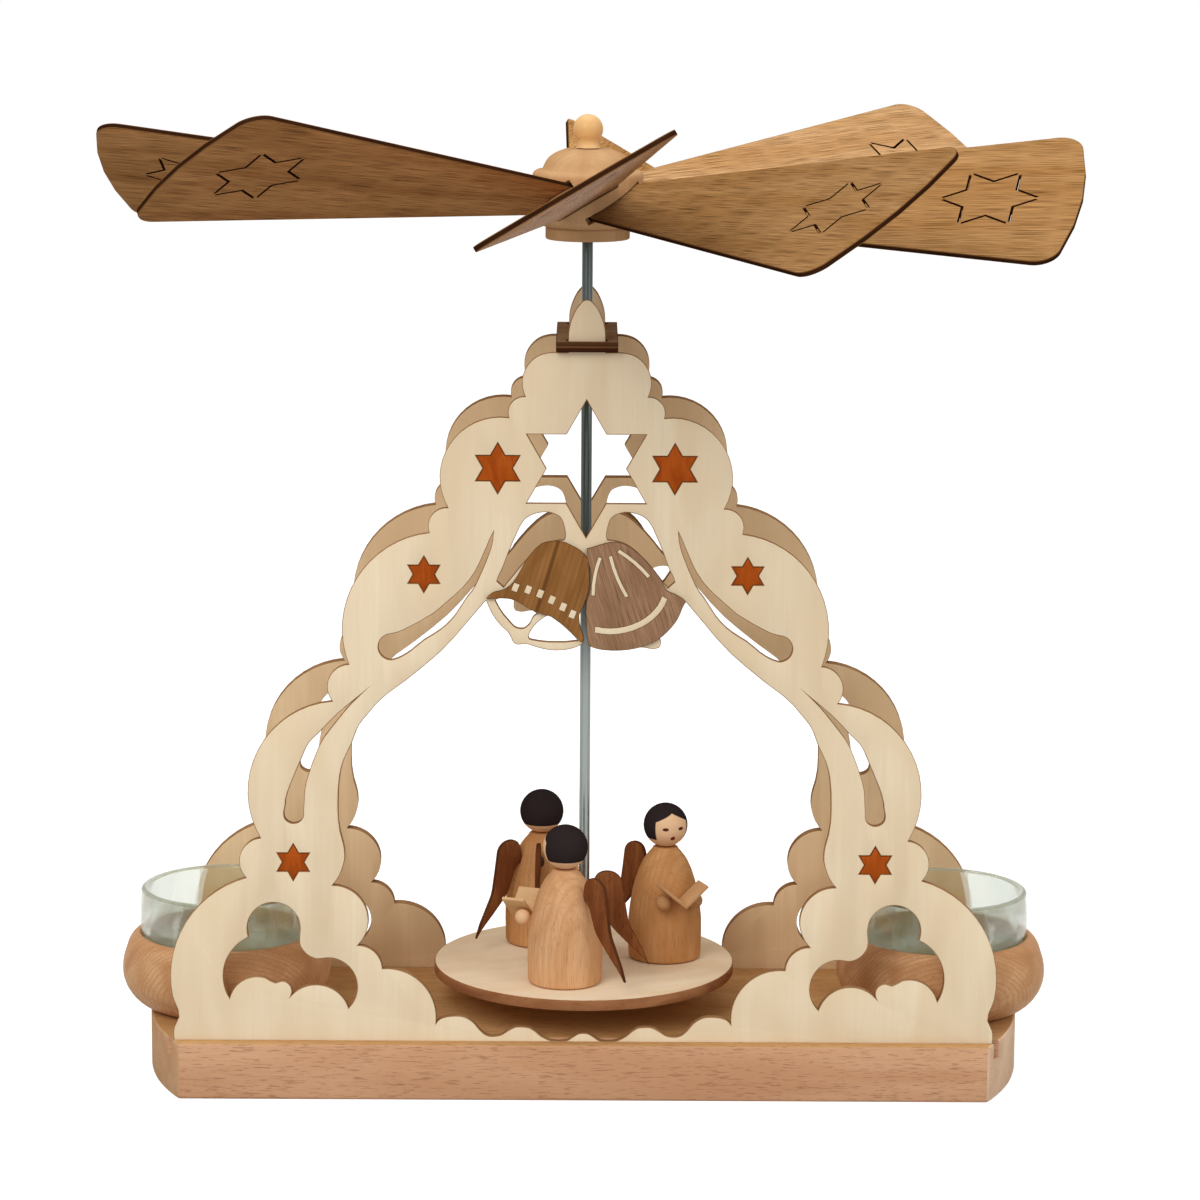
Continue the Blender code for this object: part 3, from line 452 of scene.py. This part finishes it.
def sheet_rings(shape, normal):
    """The closed runs of corners round the face of a sheet that looks along the normal."""
    face_side = {face: face.normal.dot(normal) > same_way for face in shape.faces}
    follow = {}
    for face in shape.faces:
        if face_side[face]:
            for loop in face.loops:
                if not all(face_side[side] for side in loop.edge.link_faces):
                    follow[loop.vert] = loop.link_loop_next.vert
    rings = []
    while follow:
        ring = [next(iter(follow))]
        while follow[ring[-1]] is not ring[0]:
            ring.append(follow.pop(ring[-1]))
        follow.pop(ring[-1])
        rings.append([corner.co.copy() for corner in ring])
    return rings


def ring_size(ring):
    return max((corner - ring[0]).length for corner in ring)


def star_hole(ring):
    """Whether a ring is the hole of an inlaid star, told by its corners and its size."""
    return len(ring) == star_corners and ring_size(ring) < 2 * inlay_reach


def snug(ring):
    """The hole of an inlaid star, closed up round the star; other rings are kept."""
    if not star_hole(ring):
        return ring
    middle = sum(ring, Vector()) / len(ring)
    reach = max((corner - middle).length for corner in ring)
    return [middle + (corner - middle) * (1 - 2 * inlay_fit / reach) for corner in ring]


def sawn_sheet(node, body, materials, outward, along=upright, edge=0.0002, shift=0.0,
               kind="sawn", span=(0.0, 1.0)):
    """A sawn sheet in place of a flat CAD node, with true arcs and eased edges.

    The materials are for its outward face, its other face and its sawn edges. Its UV map is in
    metres, along the grain first; shift moves the grain, so that no two sheets are alike. The
    depth attribute runs from -1 to 1 through the sheet. The span is the share of the node's
    thickness that it takes up, from the inner face to the outward one. The other kinds go with
    it: a backing is a layer without the stars' holes, and a filling is an inlay for its holes.
    """
    shape = node_shape(node)
    normal = sheet_plane(shape, Vector(outward))
    side = normal.cross(along).normalized()
    grain = side.cross(normal)
    outline, *holes = sorted(sheet_rings(shape, normal), key=ring_size, reverse=True)
    if kind == "filling":
        rings = holes
    elif kind == "backing":
        rings = [outline, *(hole for hole in holes if not star_hole(hole))]
    else:
        rings = [outline, *map(snug, holes)]
    levels = [vert.co.dot(normal) for vert in shape.verts]
    thickness = max(levels) - min(levels)
    half = (span[1] - span[0]) * thickness / 2
    middle = normal * (min(levels) + span[0] * thickness + half)
    shape.free()
    drawing = bpy.data.curves.new(node, "CURVE")
    drawing.dimensions = "2D"
    drawing.fill_mode = "BOTH"
    drawing.extrude = half - edge
    drawing.bevel_depth = edge
    drawing.bevel_resolution = 1
    drawing.offset = -edge
    for ring in rings:
        flat = eased([(corner.dot(grain), corner.dot(side)) for corner in ring])
        spline = drawing.splines.new("POLY")
        spline.points.add(len(flat) - 1)
        for point, (x, y) in zip(spline.points, flat):
            point.co = (x, y, 0.0, 1.0)
        spline.use_cyclic_u = True
    drawn = add_object(node, drawing)
    bpy.context.view_layer.update()
    mesh = bpy.data.meshes.new_from_object(drawn.evaluated_get(bpy.context.evaluated_depsgraph_get()))
    bpy.data.objects.remove(drawn)
    shape = bmesh.new()
    shape.from_mesh(mesh)
    bmesh.ops.remove_doubles(shape, verts=shape.verts, dist=weld_distance)
    bmesh.ops.recalc_face_normals(shape, faces=shape.faces)
    grain_map = shape.loops.layers.uv.verify()
    depth = shape.verts.layers.float.new("depth")
    for corner in shape.verts:
        corner[depth] = corner.co.z / half
    for face in shape.faces:
        face.material_index = 0 if face.normal.z > same_way else 1 if face.normal.z < -same_way else 2
        for loop in face.loops:
            loop[grain_map].uv = (loop.vert.co.x + shift, loop.vert.co.y)
    place = Matrix((grain, side, normal)).transposed().to_4x4()
    place.translation = middle
    bmesh.ops.transform(shape, matrix=place, verts=shape.verts)
    piece = finished(f"{kind}_{node}", shape, materials, body, [node] if kind == "sawn" else [])
    shade_by_angle(piece)
    return piece


ply_grain = {
    "source": "UV", "cloud": (0.02, 0.06, 0.0), "fibre": (0.03, 0.9, 0.0), "fleck": (0.12, 1.6, 0.0),
    "fleck_share": 0.25, "relief": 0.04,
}
arch_outer = wood("ply_face", (ply_pale, ply_deep, ply_dark), **ply_grain, fleck_strength=0.12)
arch_inner = wood(
    "ply_inner", (tone(238, 208, 166), tone(226, 193, 150), ply_dark), **ply_grain, fleck_strength=0.15
)
arch_edge = wood(
    "ply_edge", (tone(176, 136, 96), tone(150, 108, 70), tone(110, 72, 44)),
    cloud=(0.06, 0.06, 0.06), fibre=(0.5, 0.5, 3.5), fleck=(0.8, 0.8, 2.0),
    fleck_share=0.35, fleck_strength=0.3, roughness=0.6,
)
for side_name, look in outward.items():
    shift = back_shift if side_name == "back" else 0.0
    sawn_sheet(
        f"{side_name}_arch", "stand", [arch_outer, arch_inner, arch_edge], look,
        shift=shift, span=(backing_share, 1.0),
    )
    sawn_sheet(
        f"{side_name}_arch", "stand", [arch_inner, arch_inner, arch_edge], look,
        edge=0.0001, shift=shift, kind="backing", span=(0.0, backing_share),
    )

# Inlaid stars: red wood, sawn to fit and glued flush into pockets in the outer faces.
# Each has its own piece of grain. Their edges show as a fine dark line round them.
stars_per_arch = 6
star_shift = 0.05
red_face = wood(
    "red_star", (tone(182, 88, 30), tone(156, 68, 20), tone(96, 36, 12)), source="UV",
    cloud=(0.1, 0.3, 0.0), fibre=(0.15, 2.5, 0.0), fleck=(0.4, 3.0, 0.0), fleck_share=0.3,
    fleck_strength=0.35, roughness=0.45,
)
red_edge = wood("red_star_edge", (tone(96, 40, 18), tone(78, 30, 14), tone(50, 20, 10)))
for side_name, look in outward.items():
    for number in range(1, stars_per_arch + 1):
        sawn_sheet(
            f"{side_name}_star_{number}", "stand", [red_face, red_face, red_edge],
            look, edge=0.0001, shift=star_shift * number, span=(backing_share, 1.0),
        )

# Bells: thin veneer overlays glued on the arches, a brown one and a greyer one.
# Small panes are sawn out of the left bell and narrow stripes out of the right one, and filled
# flush with pale wood. Their grain leans with each bell.
bell_lean = 0.3
bell_shift, filling_shift = 0.2, 0.1
veneer_span = (-0.33, 1.0)
brown_face = wood(
    "brown_bell", (tone(160, 111, 64), tone(136, 91, 48), tone(62, 36, 16)), source="UV",
    cloud=(0.04, 0.25, 0.0), fibre=(0.04, 2.4, 0.0), fleck=(0.012, 0.55, 0.0), fleck_share=0.36,
    fleck_strength=0.55, rings=0.5, ring_scale=0.2,
)
grey_face = wood(
    "grey_bell", (tone(172, 134, 104), tone(148, 112, 84), tone(92, 66, 48)), source="UV",
    cloud=(0.04, 0.25, 0.0), fibre=(0.04, 2.4, 0.0), fleck=(0.12, 3.6, 0.0), fleck_share=0.4,
    fleck_strength=0.6, rings=0.5, ring_scale=0.2,
)
veneer_edge = wood("veneer_edge", (tone(96, 64, 40), tone(80, 50, 30), tone(48, 30, 20)))
pale_edge = wood("filling_edge", (ply_pale, ply_deep, ply_dark))
for side_name, look in outward.items():
    for bell, face, slot_name, bell_side in (
        ("left_bell", brown_face, "brown_veneer", -1), ("right_bell", grey_face, "grey_veneer", 1)
    ):
        lean = Vector((bell_lean * look[1] * bell_side, 0.0, 1.0))
        shift = bell_shift if side_name == "back" else 0.0
        sawn_sheet(
            f"{side_name}_{bell}", "stand", [face, face, veneer_edge], look, lean,
            edge=0.00012, shift=shift, span=veneer_span,
        )
        sawn_sheet(
            f"{side_name}_{bell}", "stand", [arch_outer, arch_outer, pale_edge], look, lean,
            edge=0.00005, shift=shift + filling_shift, kind="filling", span=veneer_span,
        )

# Bearing plate: a small board of dark plywood laid on the shoulders of both arches.
# Their finials pass through its two slots, and the spindle turns in its middle hole.
plate_low, plate_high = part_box("bearing_plate")
# A paler glue line shows in the middle of the sawn edge: share of the thickness, and colour.
plate_layers = (
    (0.40, tone(66, 38, 22)), (0.46, tone(112, 76, 48)), (0.56, tone(112, 76, 48)),
    (0.62, tone(76, 46, 28)),
)


def object_axes(tree):
    """The X, Y and Z of the object's own coordinates, in metres."""
    place = add_node(tree, "TexCoord", {}).outputs["Object"]
    return add_node(tree, "SeparateXYZ", {0: place}).outputs


plate_face = wood(
    "dark_plate", (tone(164, 132, 100), tone(144, 112, 82), tone(92, 66, 46)), source="UV",
    cloud=(0.05, 0.2, 0.0), fibre=(0.06, 2.0, 0.0), fleck=(0.3, 2.6, 0.0), roughness=0.42,
)
plate_edge, plate_tree, plate_shader = new_finish(
    "dark_plate_edge", {"Roughness": 0.55, "Specular IOR Level": 0.0}
)
layer_share = add_node(plate_tree, "MapRange", {
    "Value": object_axes(plate_tree)["Z"], "From Min": plate_low.z, "From Max": plate_high.z,
})
layers = add_node(plate_tree, "ValToRGB", {"Fac": layer_share.outputs[0]})
layers.color_ramp.elements[0].color = tone(58, 32, 18)
layers.color_ramp.elements[1].color = tone(92, 62, 38)
for position, colour in plate_layers:
    layers.color_ramp.elements.new(position).color = colour
set_sockets(plate_tree, plate_shader, {"Base Color": layers.outputs["Color"]})
sawn_sheet(
    "bearing_plate", "stand", [plate_face, plate_face, plate_edge], upright,
    Vector((1.0, 0.0, 0.0)),
)

# Candle holders: bowls turned from beech, glued into the base by a spigot below.
# The grain lies level, so its growth lines curve round the belly.
holder_colour = (tone(222, 176, 130), tone(190, 136, 90), tone(130, 84, 50))
growth_middle = Vector((0.0, 0.05, -0.02))
holder_turn = (radians(28), 0.0, radians(6))
turned_rim_angle = radians(48)
column_reach = 20 * weld_distance


def turned_profile(node):
    """The axis of a turned CAD node, and the (radius, height) points down its side."""
    shape = node_shape(node)
    axis = sum((vert.co.to_2d() for vert in shape.verts), Vector((0.0, 0.0))) / len(shape.verts)
    offset = {vert: vert.co.to_2d() - axis for vert in shape.verts}
    widest = max(shape.verts, key=lambda vert: round(offset[vert].length, 6))
    heading = offset[widest].normalized()
    column = [
        vert for vert in shape.verts
        if (offset[vert] - heading * offset[vert].length).length < column_reach
    ]
    joined = {
        vert: [edge.other_vert(vert) for edge in vert.link_edges if edge.other_vert(vert) in column]
        for vert in column
    }
    ends = sorted((vert for vert in column if len(joined[vert]) == 1), key=lambda vert: vert.co.z)
    run = [ends[0] if ends else column[0]]
    while True:
        onward = [vert for vert in joined[run[-1]] if vert not in run]
        if not onward:
            break
        run.append(onward[0])
    profile = [(offset[vert].length, vert.co.z) for vert in run]
    shape.free()
    if ends:
        profile = [(0.0, profile[0][1]), *profile, (0.0, profile[-1][1])]
    return axis, profile, not ends


def lathe(axis, profile, steps, closed=False, edge=0.0):
    """A turned form; the profile runs from the axis and back to it, or is a closed ring."""
    shape = bmesh.new()
    points = [shape.verts.new((axis[0] + radius, axis[1], height)) for radius, height in profile]
    edges = [shape.edges.new(pair) for pair in zip(points, points[1:])]
    if closed:
        edges.append(shape.edges.new((points[-1], points[0])))
    bmesh.ops.spin(
        shape, geom=points + edges, cent=(axis[0], axis[1], 0.0), axis=upright,
        angle=2 * pi, steps=steps, use_merge=True,
    )
    bmesh.ops.remove_doubles(shape, verts=shape.verts, dist=weld_distance)
    bmesh.ops.recalc_face_normals(shape, faces=shape.faces)
    if edge:
        rims = [rim for rim in shape.edges if rim.calc_face_angle(0) > turned_rim_angle]
        bmesh.ops.bevel(
            shape, geom=rims, offset=edge, segments=2, profile=0.5, affect="EDGES", material=-1
        )
    return shape


def turned_piece(node, body, material, steps=72, edge=0.0003):
    """A smooth turned piece in place of a faceted CAD node."""
    axis, profile, closed = turned_profile(node)
    smooth = [(max(point.x, 0.0), point.y) for point in eased(profile, closed)]
    shape = lathe(axis, smooth, steps, closed, edge)
    piece = finished(f"turned_{node}", shape, [material], body, [node])
    shade_by_angle(piece)
    return piece


for side_name in ("left", "right"):
    low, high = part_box(f"{side_name}_holder")
    holder_wood = wood(
        f"{side_name}_holder", holder_colour, centre=(low + high) / 2 + growth_middle,
        turn=holder_turn, fibre=(0.08, 1.5, 1.5), fleck=(0.6, 4.0, 4.0), fleck_share=0.36,
        fleck_strength=0.4, rings=0.5, ring_scale=0.27, sheen=0.1,
    )
    turned_piece(f"{side_name}_holder", "stand", holder_wood, edge=0.0004)

# Glass cups: pressed clear glass with a thick foot, made for tea lights.
# They stand loose in the holders. The rim and the foot look greener and less clear than the wall.
rim_depth, floor_height = 0.0006, 0.0046
clear_share = 0.5
clear_glass, glass_tree, glass_shader = new_finish("clear_glass", {
    "Base Color": (0.86, 0.93, 0.87, 1.0), "Roughness": 0.03, "IOR": 1.5, "Transmission Weight": 1.0,
})
let_through = add_node(glass_tree, "BsdfTransparent", {"Color": (0.905, 0.93, 0.9, 1.0)})
show_mix(glass_tree, clear_share, glass_shader, let_through)
rim_glass = new_finish("rim_glass", {
    "Base Color": tone(196, 200, 172), "Roughness": 0.1, "Transmission Weight": 0.75,
})[0]
for side_name in ("left", "right"):
    cup = turned_piece(f"{side_name}_glass", f"{side_name}_cup", clear_glass, steps=96)
    cup.data.materials.append(rim_glass)
    glass_low, glass_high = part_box(f"{side_name}_glass")
    for part_face in cup.data.polygons:
        height = part_face.center.z
        if height > glass_high.z - rim_depth or height < glass_low.z + floor_height:
            part_face.material_index = 1

# Spindle: a plain steel rod, ground to a point at its lower end, and coloured darker above than below.
# The point turns in a small brass cup, which is let into the middle of the board.
darkening_low, darkening_high = 0.105, 0.135
rod_steel, rod_tree, rod_shader = new_finish("rod_steel", {"Metallic": 1.0, "Roughness": 0.32})
# Between these two heights the rod's colour turns from the lighter lower one to the darker upper one.
darkening = between(rod_tree, object_axes(rod_tree)["Z"], darkening_low, darkening_high)
rod_colour = mix_colours(rod_tree, darkening, tone(146, 152, 149), tone(82, 89, 87))
set_sockets(rod_tree, rod_shader, {"Base Color": rod_colour})
cup_brass = new_finish("cup_brass", {
    "Base Color": tone(206, 168, 96), "Metallic": 1.0, "Roughness": 0.35,
})[0]
turned_piece("spindle_rod", "carousel", rod_steel, steps=40, edge=0.00015)
turned_piece("bearing_cup", "stand", cup_brass, steps=48, edge=0.00015)

# Turntable: a disc of thin plywood with a browned edge, which sits on the spindle.
# A small collar turned from beech is glued under it and holds it at its height.
table_grain = Vector((0.94, 0.34, 0.0))
table_shift = 0.62
table_edge = wood(
    "table_edge", (tone(170, 118, 78), tone(146, 94, 60), tone(96, 58, 36)),
    cloud=(0.08, 0.08, 0.2), fibre=(0.4, 0.4, 2.5), fleck=(0.6, 0.6, 2.0), fleck_share=0.3,
    fleck_strength=0.35,
)
table_top = wood(
    "table_top", (tone(242, 220, 188), tone(232, 204, 168), ply_dark), source="UV",
    cloud=(0.03, 0.08, 0.0), fibre=(0.04, 1.1, 0.0), fleck=(0.15, 1.8, 0.0), fleck_share=0.25,
    fleck_strength=0.15, relief=0.04,
)
sawn_sheet(
    "turntable", "carousel", [table_top, table_top, table_edge], upright,
    table_grain, edge=0.0003, shift=table_shift,
)
turned_piece("turntable_collar", "carousel", wood("collar", holder_colour), steps=48)

# Rotor hub: turned from light maple, like a small bell with a rim, and a ball knob glued on top.
# Eight slanting slots round its side take the blades.
hub_low, hub_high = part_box("rotor_hub")
hub_radius = 0.0153
bore_radius, bore_depth = 0.0018, 0.012
# The hub's side from its foot up, in shares of its radius and its height.
hub_shares = (
    (0.745, 0.0), (0.765, 0.02), (0.765, 0.11), (0.745, 0.135), (0.830, 0.150), (0.889, 0.175),
    (0.941, 0.24), (0.967, 0.363), (0.987, 0.524), (1.0, 0.665), (0.993, 0.73), (0.941, 0.762),
    (0.82, 0.785), (0.784, 0.835), (0.752, 0.871), (0.654, 0.931), (0.549, 0.968), (0.412, 1.0),
)
blade_count = 8
blade_names = [f"blade_{number}" for number in range(1, blade_count + 1)]
blade_root, slot_end = 0.0102, 0.0175
slot_half_chord, slot_half_depth = 0.0096, 0.00105
maple = wood(
    "hub_maple", (tone(206, 166, 122), tone(192, 148, 104), tone(150, 104, 66)),
    turn=(0.0, radians(90), 0.0), cloud=(0.03, 0.1, 0.1), fibre=(0.06, 1.6, 1.6),
    fleck=(0.3, 2.4, 2.4), fleck_share=0.3, fleck_strength=0.25, rings=0.25, ring_scale=0.2,
)
knob_maple = wood(
    "knob_maple", (tone(238, 196, 138), tone(226, 178, 116), tone(190, 134, 76)),
    cloud=(0.05, 0.12, 0.12), fibre=(0.1, 1.8, 1.8), fleck_strength=0.15, roughness=0.35, coat=0.3,
)


def blade_axes(node):
    """Where the spindle meets a blade's middle plane, with its grain, side and normal."""
    shape = node_shape(node)
    normal = sheet_plane(shape, upright)
    centre = sum((vert.co for vert in shape.verts), Vector()) / len(shape.verts)
    shape.free()
    pivot = Vector((0.0, 0.0, centre.dot(normal) / normal.z))
    grain = (centre - pivot).normalized()
    return pivot, grain, normal.cross(grain), normal


hub_height = hub_high.z - hub_low.z
hub_profile = [(share * hub_radius, hub_low.z + rise * hub_height) for share, rise in hub_shares]
hub_side = [(point.x, point.y) for point in eased(hub_profile, closed=False)]
bore_top = hub_low.z + bore_depth
bore_side = [(0.0, bore_top), (bore_radius, bore_top), (bore_radius, hub_low.z)]
hub_shape = lathe((0.0, 0.0), [*bore_side, *hub_side, (0.0, hub_high.z)], steps=96)
hub = finished("turned_hub", hub_shape, [maple], "carousel", ["rotor_hub"])
for name in blade_names:
    pivot, grain, side, normal = blade_axes(name)
    seat = Matrix((grain, side, normal)).transposed().to_4x4()
    seat.translation = pivot + grain * (slot_end + blade_root) / 2
    saw_slot(hub, (slot_end - blade_root, 2 * slot_half_chord, 2 * slot_half_depth), seat)
shade_by_angle(hub)
turned_piece("rotor_knob", "carousel", knob_maple, steps=64, edge=0.0)

# Rotor blades: thin oak-faced plywood with the grain along each blade, and scorched sawn edges.
# A star is outlined on each by six V-shaped saw cuts, which leave its tips joined.
# The veneer differs a little from blade to blade, and one blade is waxed brighter.
blade_tints = (
    (1.0, 1.0, 1.0), (0.8, 0.8, 0.8), (0.88, 0.88, 0.88), (1.01, 1.05, 1.15),
    (1.0, 1.0, 1.0), (1.0, 1.0, 1.0), (1.08, 1.09, 1.1), (1.06, 1.06, 1.06),
)
blade_sheens = (0.3, 0.0, 0.0, 0.0, 0.0, 0.0, 0.0, 0.0)
blade_shift = 0.37
# The under tones are the top tones darkened: painted shade on the blades' undersides, which are the same
# oak.
oak_and_underside_shade_tones = {
    "top": ((222, 170, 112), (198, 144, 86), (104, 66, 32)),
    "under": ((192, 142, 92), (160, 112, 68), (84, 50, 26)),
}
star_place, star_reach = 0.1125, 0.0125
outer_layer_start = (0.6, 0.8)
burnt = wood("burnt_slit", (tone(52, 28, 14), tone(40, 20, 10), tone(24, 12, 6)))
scorched = wood("scorched_edge", (tone(62, 36, 20), tone(48, 27, 15), tone(26, 14, 8)))
edge_tree = scorched.node_tree
edge_shader = edge_tree.nodes["Principled BSDF"]
through = add_node(edge_tree, "Attribute", {}, attribute_name="depth").outputs["Fac"]
outer_layer = between(edge_tree, math_node(edge_tree, "ABSOLUTE", through), *outer_layer_start)
core_colour = edge_shader.inputs["Base Color"].links[0].from_socket
edge_colour = mix_colours(edge_tree, outer_layer, core_colour, tone(128, 88, 50))
set_sockets(edge_tree, edge_shader, {"Base Color": edge_colour})
for number, (name, tint, sheen) in enumerate(zip(blade_names, blade_tints, blade_sheens), 1):
    oak = []
    for face_name, tones in oak_and_underside_shade_tones.items():
        tinted = [tone(*(share * value for share, value in zip(tint, each))) for each in tones]
        oak.append(wood(
            f"oak_{face_name}_{number}", tinted, source="UV", cloud=(0.012, 0.1, 0.0),
            fibre=(0.03, 4.2, 0.0), fleck=(0.08, 8.0, 0.0), fleck_share=0.45, fleck_strength=0.85,
            rings=0.25, ring_scale=0.35, relief=0.08, sheen=sheen,
        ))
    pivot, grain, side, normal = blade_axes(name)
    blade = sawn_sheet(
        name, "carousel", [*oak, scorched, burnt], upright, grain,
        edge=0.00018, shift=blade_shift * number,
    )
    star_middle = pivot + grain * star_place
    for side_face in blade.data.polygons:
        if side_face.material_index == 2 and (side_face.center - star_middle).length < star_reach:
            side_face.material_index = 3

# Figures: each has a body turned with its grain upright, and a ball head with painted hair.
# Two flat wings, two ball hands and an open songbook are glued on by hand.
pale_body = (tone(228, 180, 134), tone(204, 150, 104), tone(150, 98, 60))
# The other two figures share a browner wood. On the figure further back this darker tone is also painted
# shade.
brown_and_shaded_body = (tone(212, 160, 108), tone(188, 132, 82), tone(136, 86, 48))
body_turn, body_step = radians(25), 0.004
# Right of this line the book and the hands are of a browner wood, and are painted darker too as painted
# shade.
browner_shaded_side = 0.01
skin_colour = (tone(243, 202, 160), tone(232, 186, 142), tone(190, 138, 98))
hair_colour, eye_colour, mouth_colour = tone(49, 40, 40), tone(92, 50, 34), tone(140, 48, 36)
hair_side, hair_side_blur = radians(49), 0.03
# Places and half-widths of the paint are in millimetres from the middle of the head.
hair_hem, fringe_level, fringe_rise = -3.6, 1.7, 2.4
eye_side, eye_level, eye_half_width, eye_half_height = 2.3, -0.2, 0.85, 0.48
mouth_level, mouth_half_width, mouth_half_height = -3.0, 0.72, 0.62
paint_blur = 0.12
wing_shift = 0.1
glue_level, glue_width, glue_length = 0.0546, 0.0009, 0.0016
glue_search = 0.004
book_rim_angle, book_edge = radians(40), 0.00012
wing_face = wood(
    "wing_face", (tone(146, 90, 52), tone(120, 68, 38), tone(70, 36, 20)), source="UV",
    cloud=(0.05, 0.25, 0.0), fibre=(0.06, 2.2, 0.0), fleck=(0.3, 2.8, 0.0), fleck_share=0.36,
    fleck_strength=0.5, roughness=0.45,
)
wing_edge = wood("wing_edge", (tone(104, 60, 36), tone(84, 46, 28), tone(56, 30, 18)))
pale_book = wood("pale_book", (tone(228, 188, 140), tone(210, 168, 120), tone(170, 124, 80)))
# The browner book and hand woods hold a browner tone and painted shade as well.
browner_shaded_book = wood("browner_shaded_book", (tone(212, 164, 118), tone(190, 142, 98), tone(146, 102, 64)))
pale_hand = wood("pale_hand", skin_colour, fleck_strength=0.15)
browner_shaded_hand = wood("browner_shaded_hand", (tone(202, 154, 106), tone(176, 126, 82), tone(134, 90, 54)))
glue_brown = wood("glue", (tone(66, 36, 24), tone(52, 28, 20), tone(36, 20, 16)), sheen=0.4)


def above(tree, value, limit):
    """1 where the value is above the limit and 0 below it, with a narrow blur."""
    return between(tree, value, limit - paint_blur, limit + paint_blur)


def painted_spot(tree, across, height, middle, half_size):
    """1 on an oval spot, given by its middle and its half-widths, and 0 round it."""
    squares = []
    for value, centre, half in zip((across, height), middle, half_size):
        share = math_node(tree, "DIVIDE", math_node(tree, "SUBTRACT", value, centre), half)
        squares.append(math_node(tree, "MULTIPLY", share, share))
    far = math_node(tree, "SQRT", math_node(tree, "ADD", *squares))
    return math_node(tree, "SUBTRACT", 1.0, above(tree, far, 1.0))


def painted_head(name, centre, facing):
    """The head's wood, with black hair all round, two eyes and a mouth painted on."""
    finish = wood(name, skin_colour, fleck_strength=0.12)
    tree = finish.node_tree
    shader = tree.nodes["Principled BSDF"]
    turned_place = grain_place(tree, "Object", (0.0, 0.0, facing), centre)
    ahead, leftward, height = add_node(tree, "SeparateXYZ", {0: turned_place}).outputs
    angle = math_node(tree, "ABSOLUTE", math_node(tree, "ARCTAN2", leftward, ahead))
    beside = between(tree, angle, hair_side - hair_side_blur, hair_side + hair_side_blur)
    aside = math_node(tree, "MINIMUM", math_node(tree, "DIVIDE", angle, hair_side), 1.0)
    fringe = math_node(tree, "MULTIPLY", math_node(tree, "SUBTRACT", 1.0, aside), fringe_rise)
    over_fringe = math_node(tree, "SUBTRACT", math_node(tree, "SUBTRACT", height, fringe), fringe_level)
    side_hair = math_node(tree, "MULTIPLY", beside, above(tree, height, hair_hem))
    hair = math_node(tree, "MAXIMUM", side_hair, above(tree, over_fringe, 0.0))
    front = above(tree, ahead, 0.0)
    colour = shader.inputs["Base Color"].links[0].from_socket
    colour = mix_colours(tree, hair, colour, hair_colour)
    for middle, half_size, paint in (
        ((-eye_side, eye_level), (eye_half_width, eye_half_height), eye_colour),
        ((eye_side, eye_level), (eye_half_width, eye_half_height), eye_colour),
        ((0.0, mouth_level), (mouth_half_width, mouth_half_height), mouth_colour),
    ):
        spot = painted_spot(tree, leftward, height, middle, half_size)
        colour = mix_colours(tree, math_node(tree, "MULTIPLY", spot, front), colour, paint)
    set_sockets(tree, shader, {"Base Color": colour})
    return finish


def ball_piece(name, centre, half_size, material, nodes, around=32, levels=20):
    """A ball, or an egg with its half-widths along X, Y and Z, that rides on the carousel."""
    shape = bmesh.new()
    size = Matrix.Translation(centre) @ Matrix.Diagonal((*half_size, 1.0))
    bmesh.ops.create_uvsphere(shape, u_segments=around, v_segments=levels, radius=1.0, matrix=size)
    shade_by_angle(finished(name, shape, [material], "carousel", nodes))


for number, body_colour in enumerate((pale_body, brown_and_shaded_body, brown_and_shaded_body), 1):
    name = f"angel_{number}"
    body_low, body_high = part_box(f"{name}_body")
    middle = (body_low + body_high) / 2
    hands = [sum(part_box(f"{name}_{side}_hand"), Vector()) / 2 for side in ("left", "right")]
    look = (hands[0] + hands[1]) / 2 - middle
    book_wood, hand_wood = (pale_book, pale_hand) if middle.x < browner_shaded_side else (browner_shaded_book, browner_shaded_hand)
    figure_wood = wood(
        f"{name}_wood", body_colour, centre=(middle.x, middle.y + body_step * number, middle.z),
        turn=(0.0, radians(90), body_turn * number), cloud=(0.02, 0.1, 0.1),
        fibre=(0.05, 2.2, 2.2), fleck=(0.16, 3.2, 3.2), fleck_share=0.36, fleck_strength=0.35,
        rings=0.45, ring_scale=0.2,
    )
    turned_piece(f"{name}_body", "carousel", figure_wood, steps=64, edge=0.0002)
    head_low, head_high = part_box(f"{name}_head")
    head_radius = (head_high.x - head_low.x) / 2
    centre = Vector((middle.x, middle.y, head_high.z - head_radius))
    head_paint = painted_head(f"{name}_head_paint", centre, atan2(look.y, look.x))
    turned_piece(f"{name}_head", "carousel", head_paint, steps=64, edge=0.0)
    for side, hand in zip(("left", "right"), hands):
        hand_low, hand_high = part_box(f"{name}_{side}_hand")
        hand_radius = (hand_high.z - hand_low.z) / 2
        ball_piece(
            f"{name}_{side}_ball", hand, (hand_radius,) * 3, hand_wood,
            [f"{name}_{side}_hand"],
        )
        sawn_sheet(
            f"{name}_{side}_wing", "carousel", [wing_face, wing_face, wing_edge],
            -look, edge=0.00015, shift=wing_shift * number,
        )
        wing_shape = node_shape(f"{name}_{side}_wing")
        near = [vert.co for vert in wing_shape.verts if abs(vert.co.z - glue_level) < glue_search]
        root = min(near, key=lambda place: (place - middle).to_2d().length).copy()
        wing_shape.free()
        root.z = glue_level
        ball_piece(
            f"{name}_{side}_glue", root, (glue_width, glue_width, glue_length), glue_brown,
            [], around=20, levels=12,
        )
    book_shape = node_shape(f"{name}_songbook")
    bmesh.ops.bevel(
        book_shape, geom=[rim for rim in book_shape.edges if rim.calc_face_angle(0) > book_rim_angle],
        offset=book_edge, segments=2, profile=0.5, affect="EDGES", material=-1,
    )
    book = finished(
        f"{name}_open_book", book_shape, [book_wood], "carousel", [f"{name}_songbook"]
    )
    shade_by_angle(book)
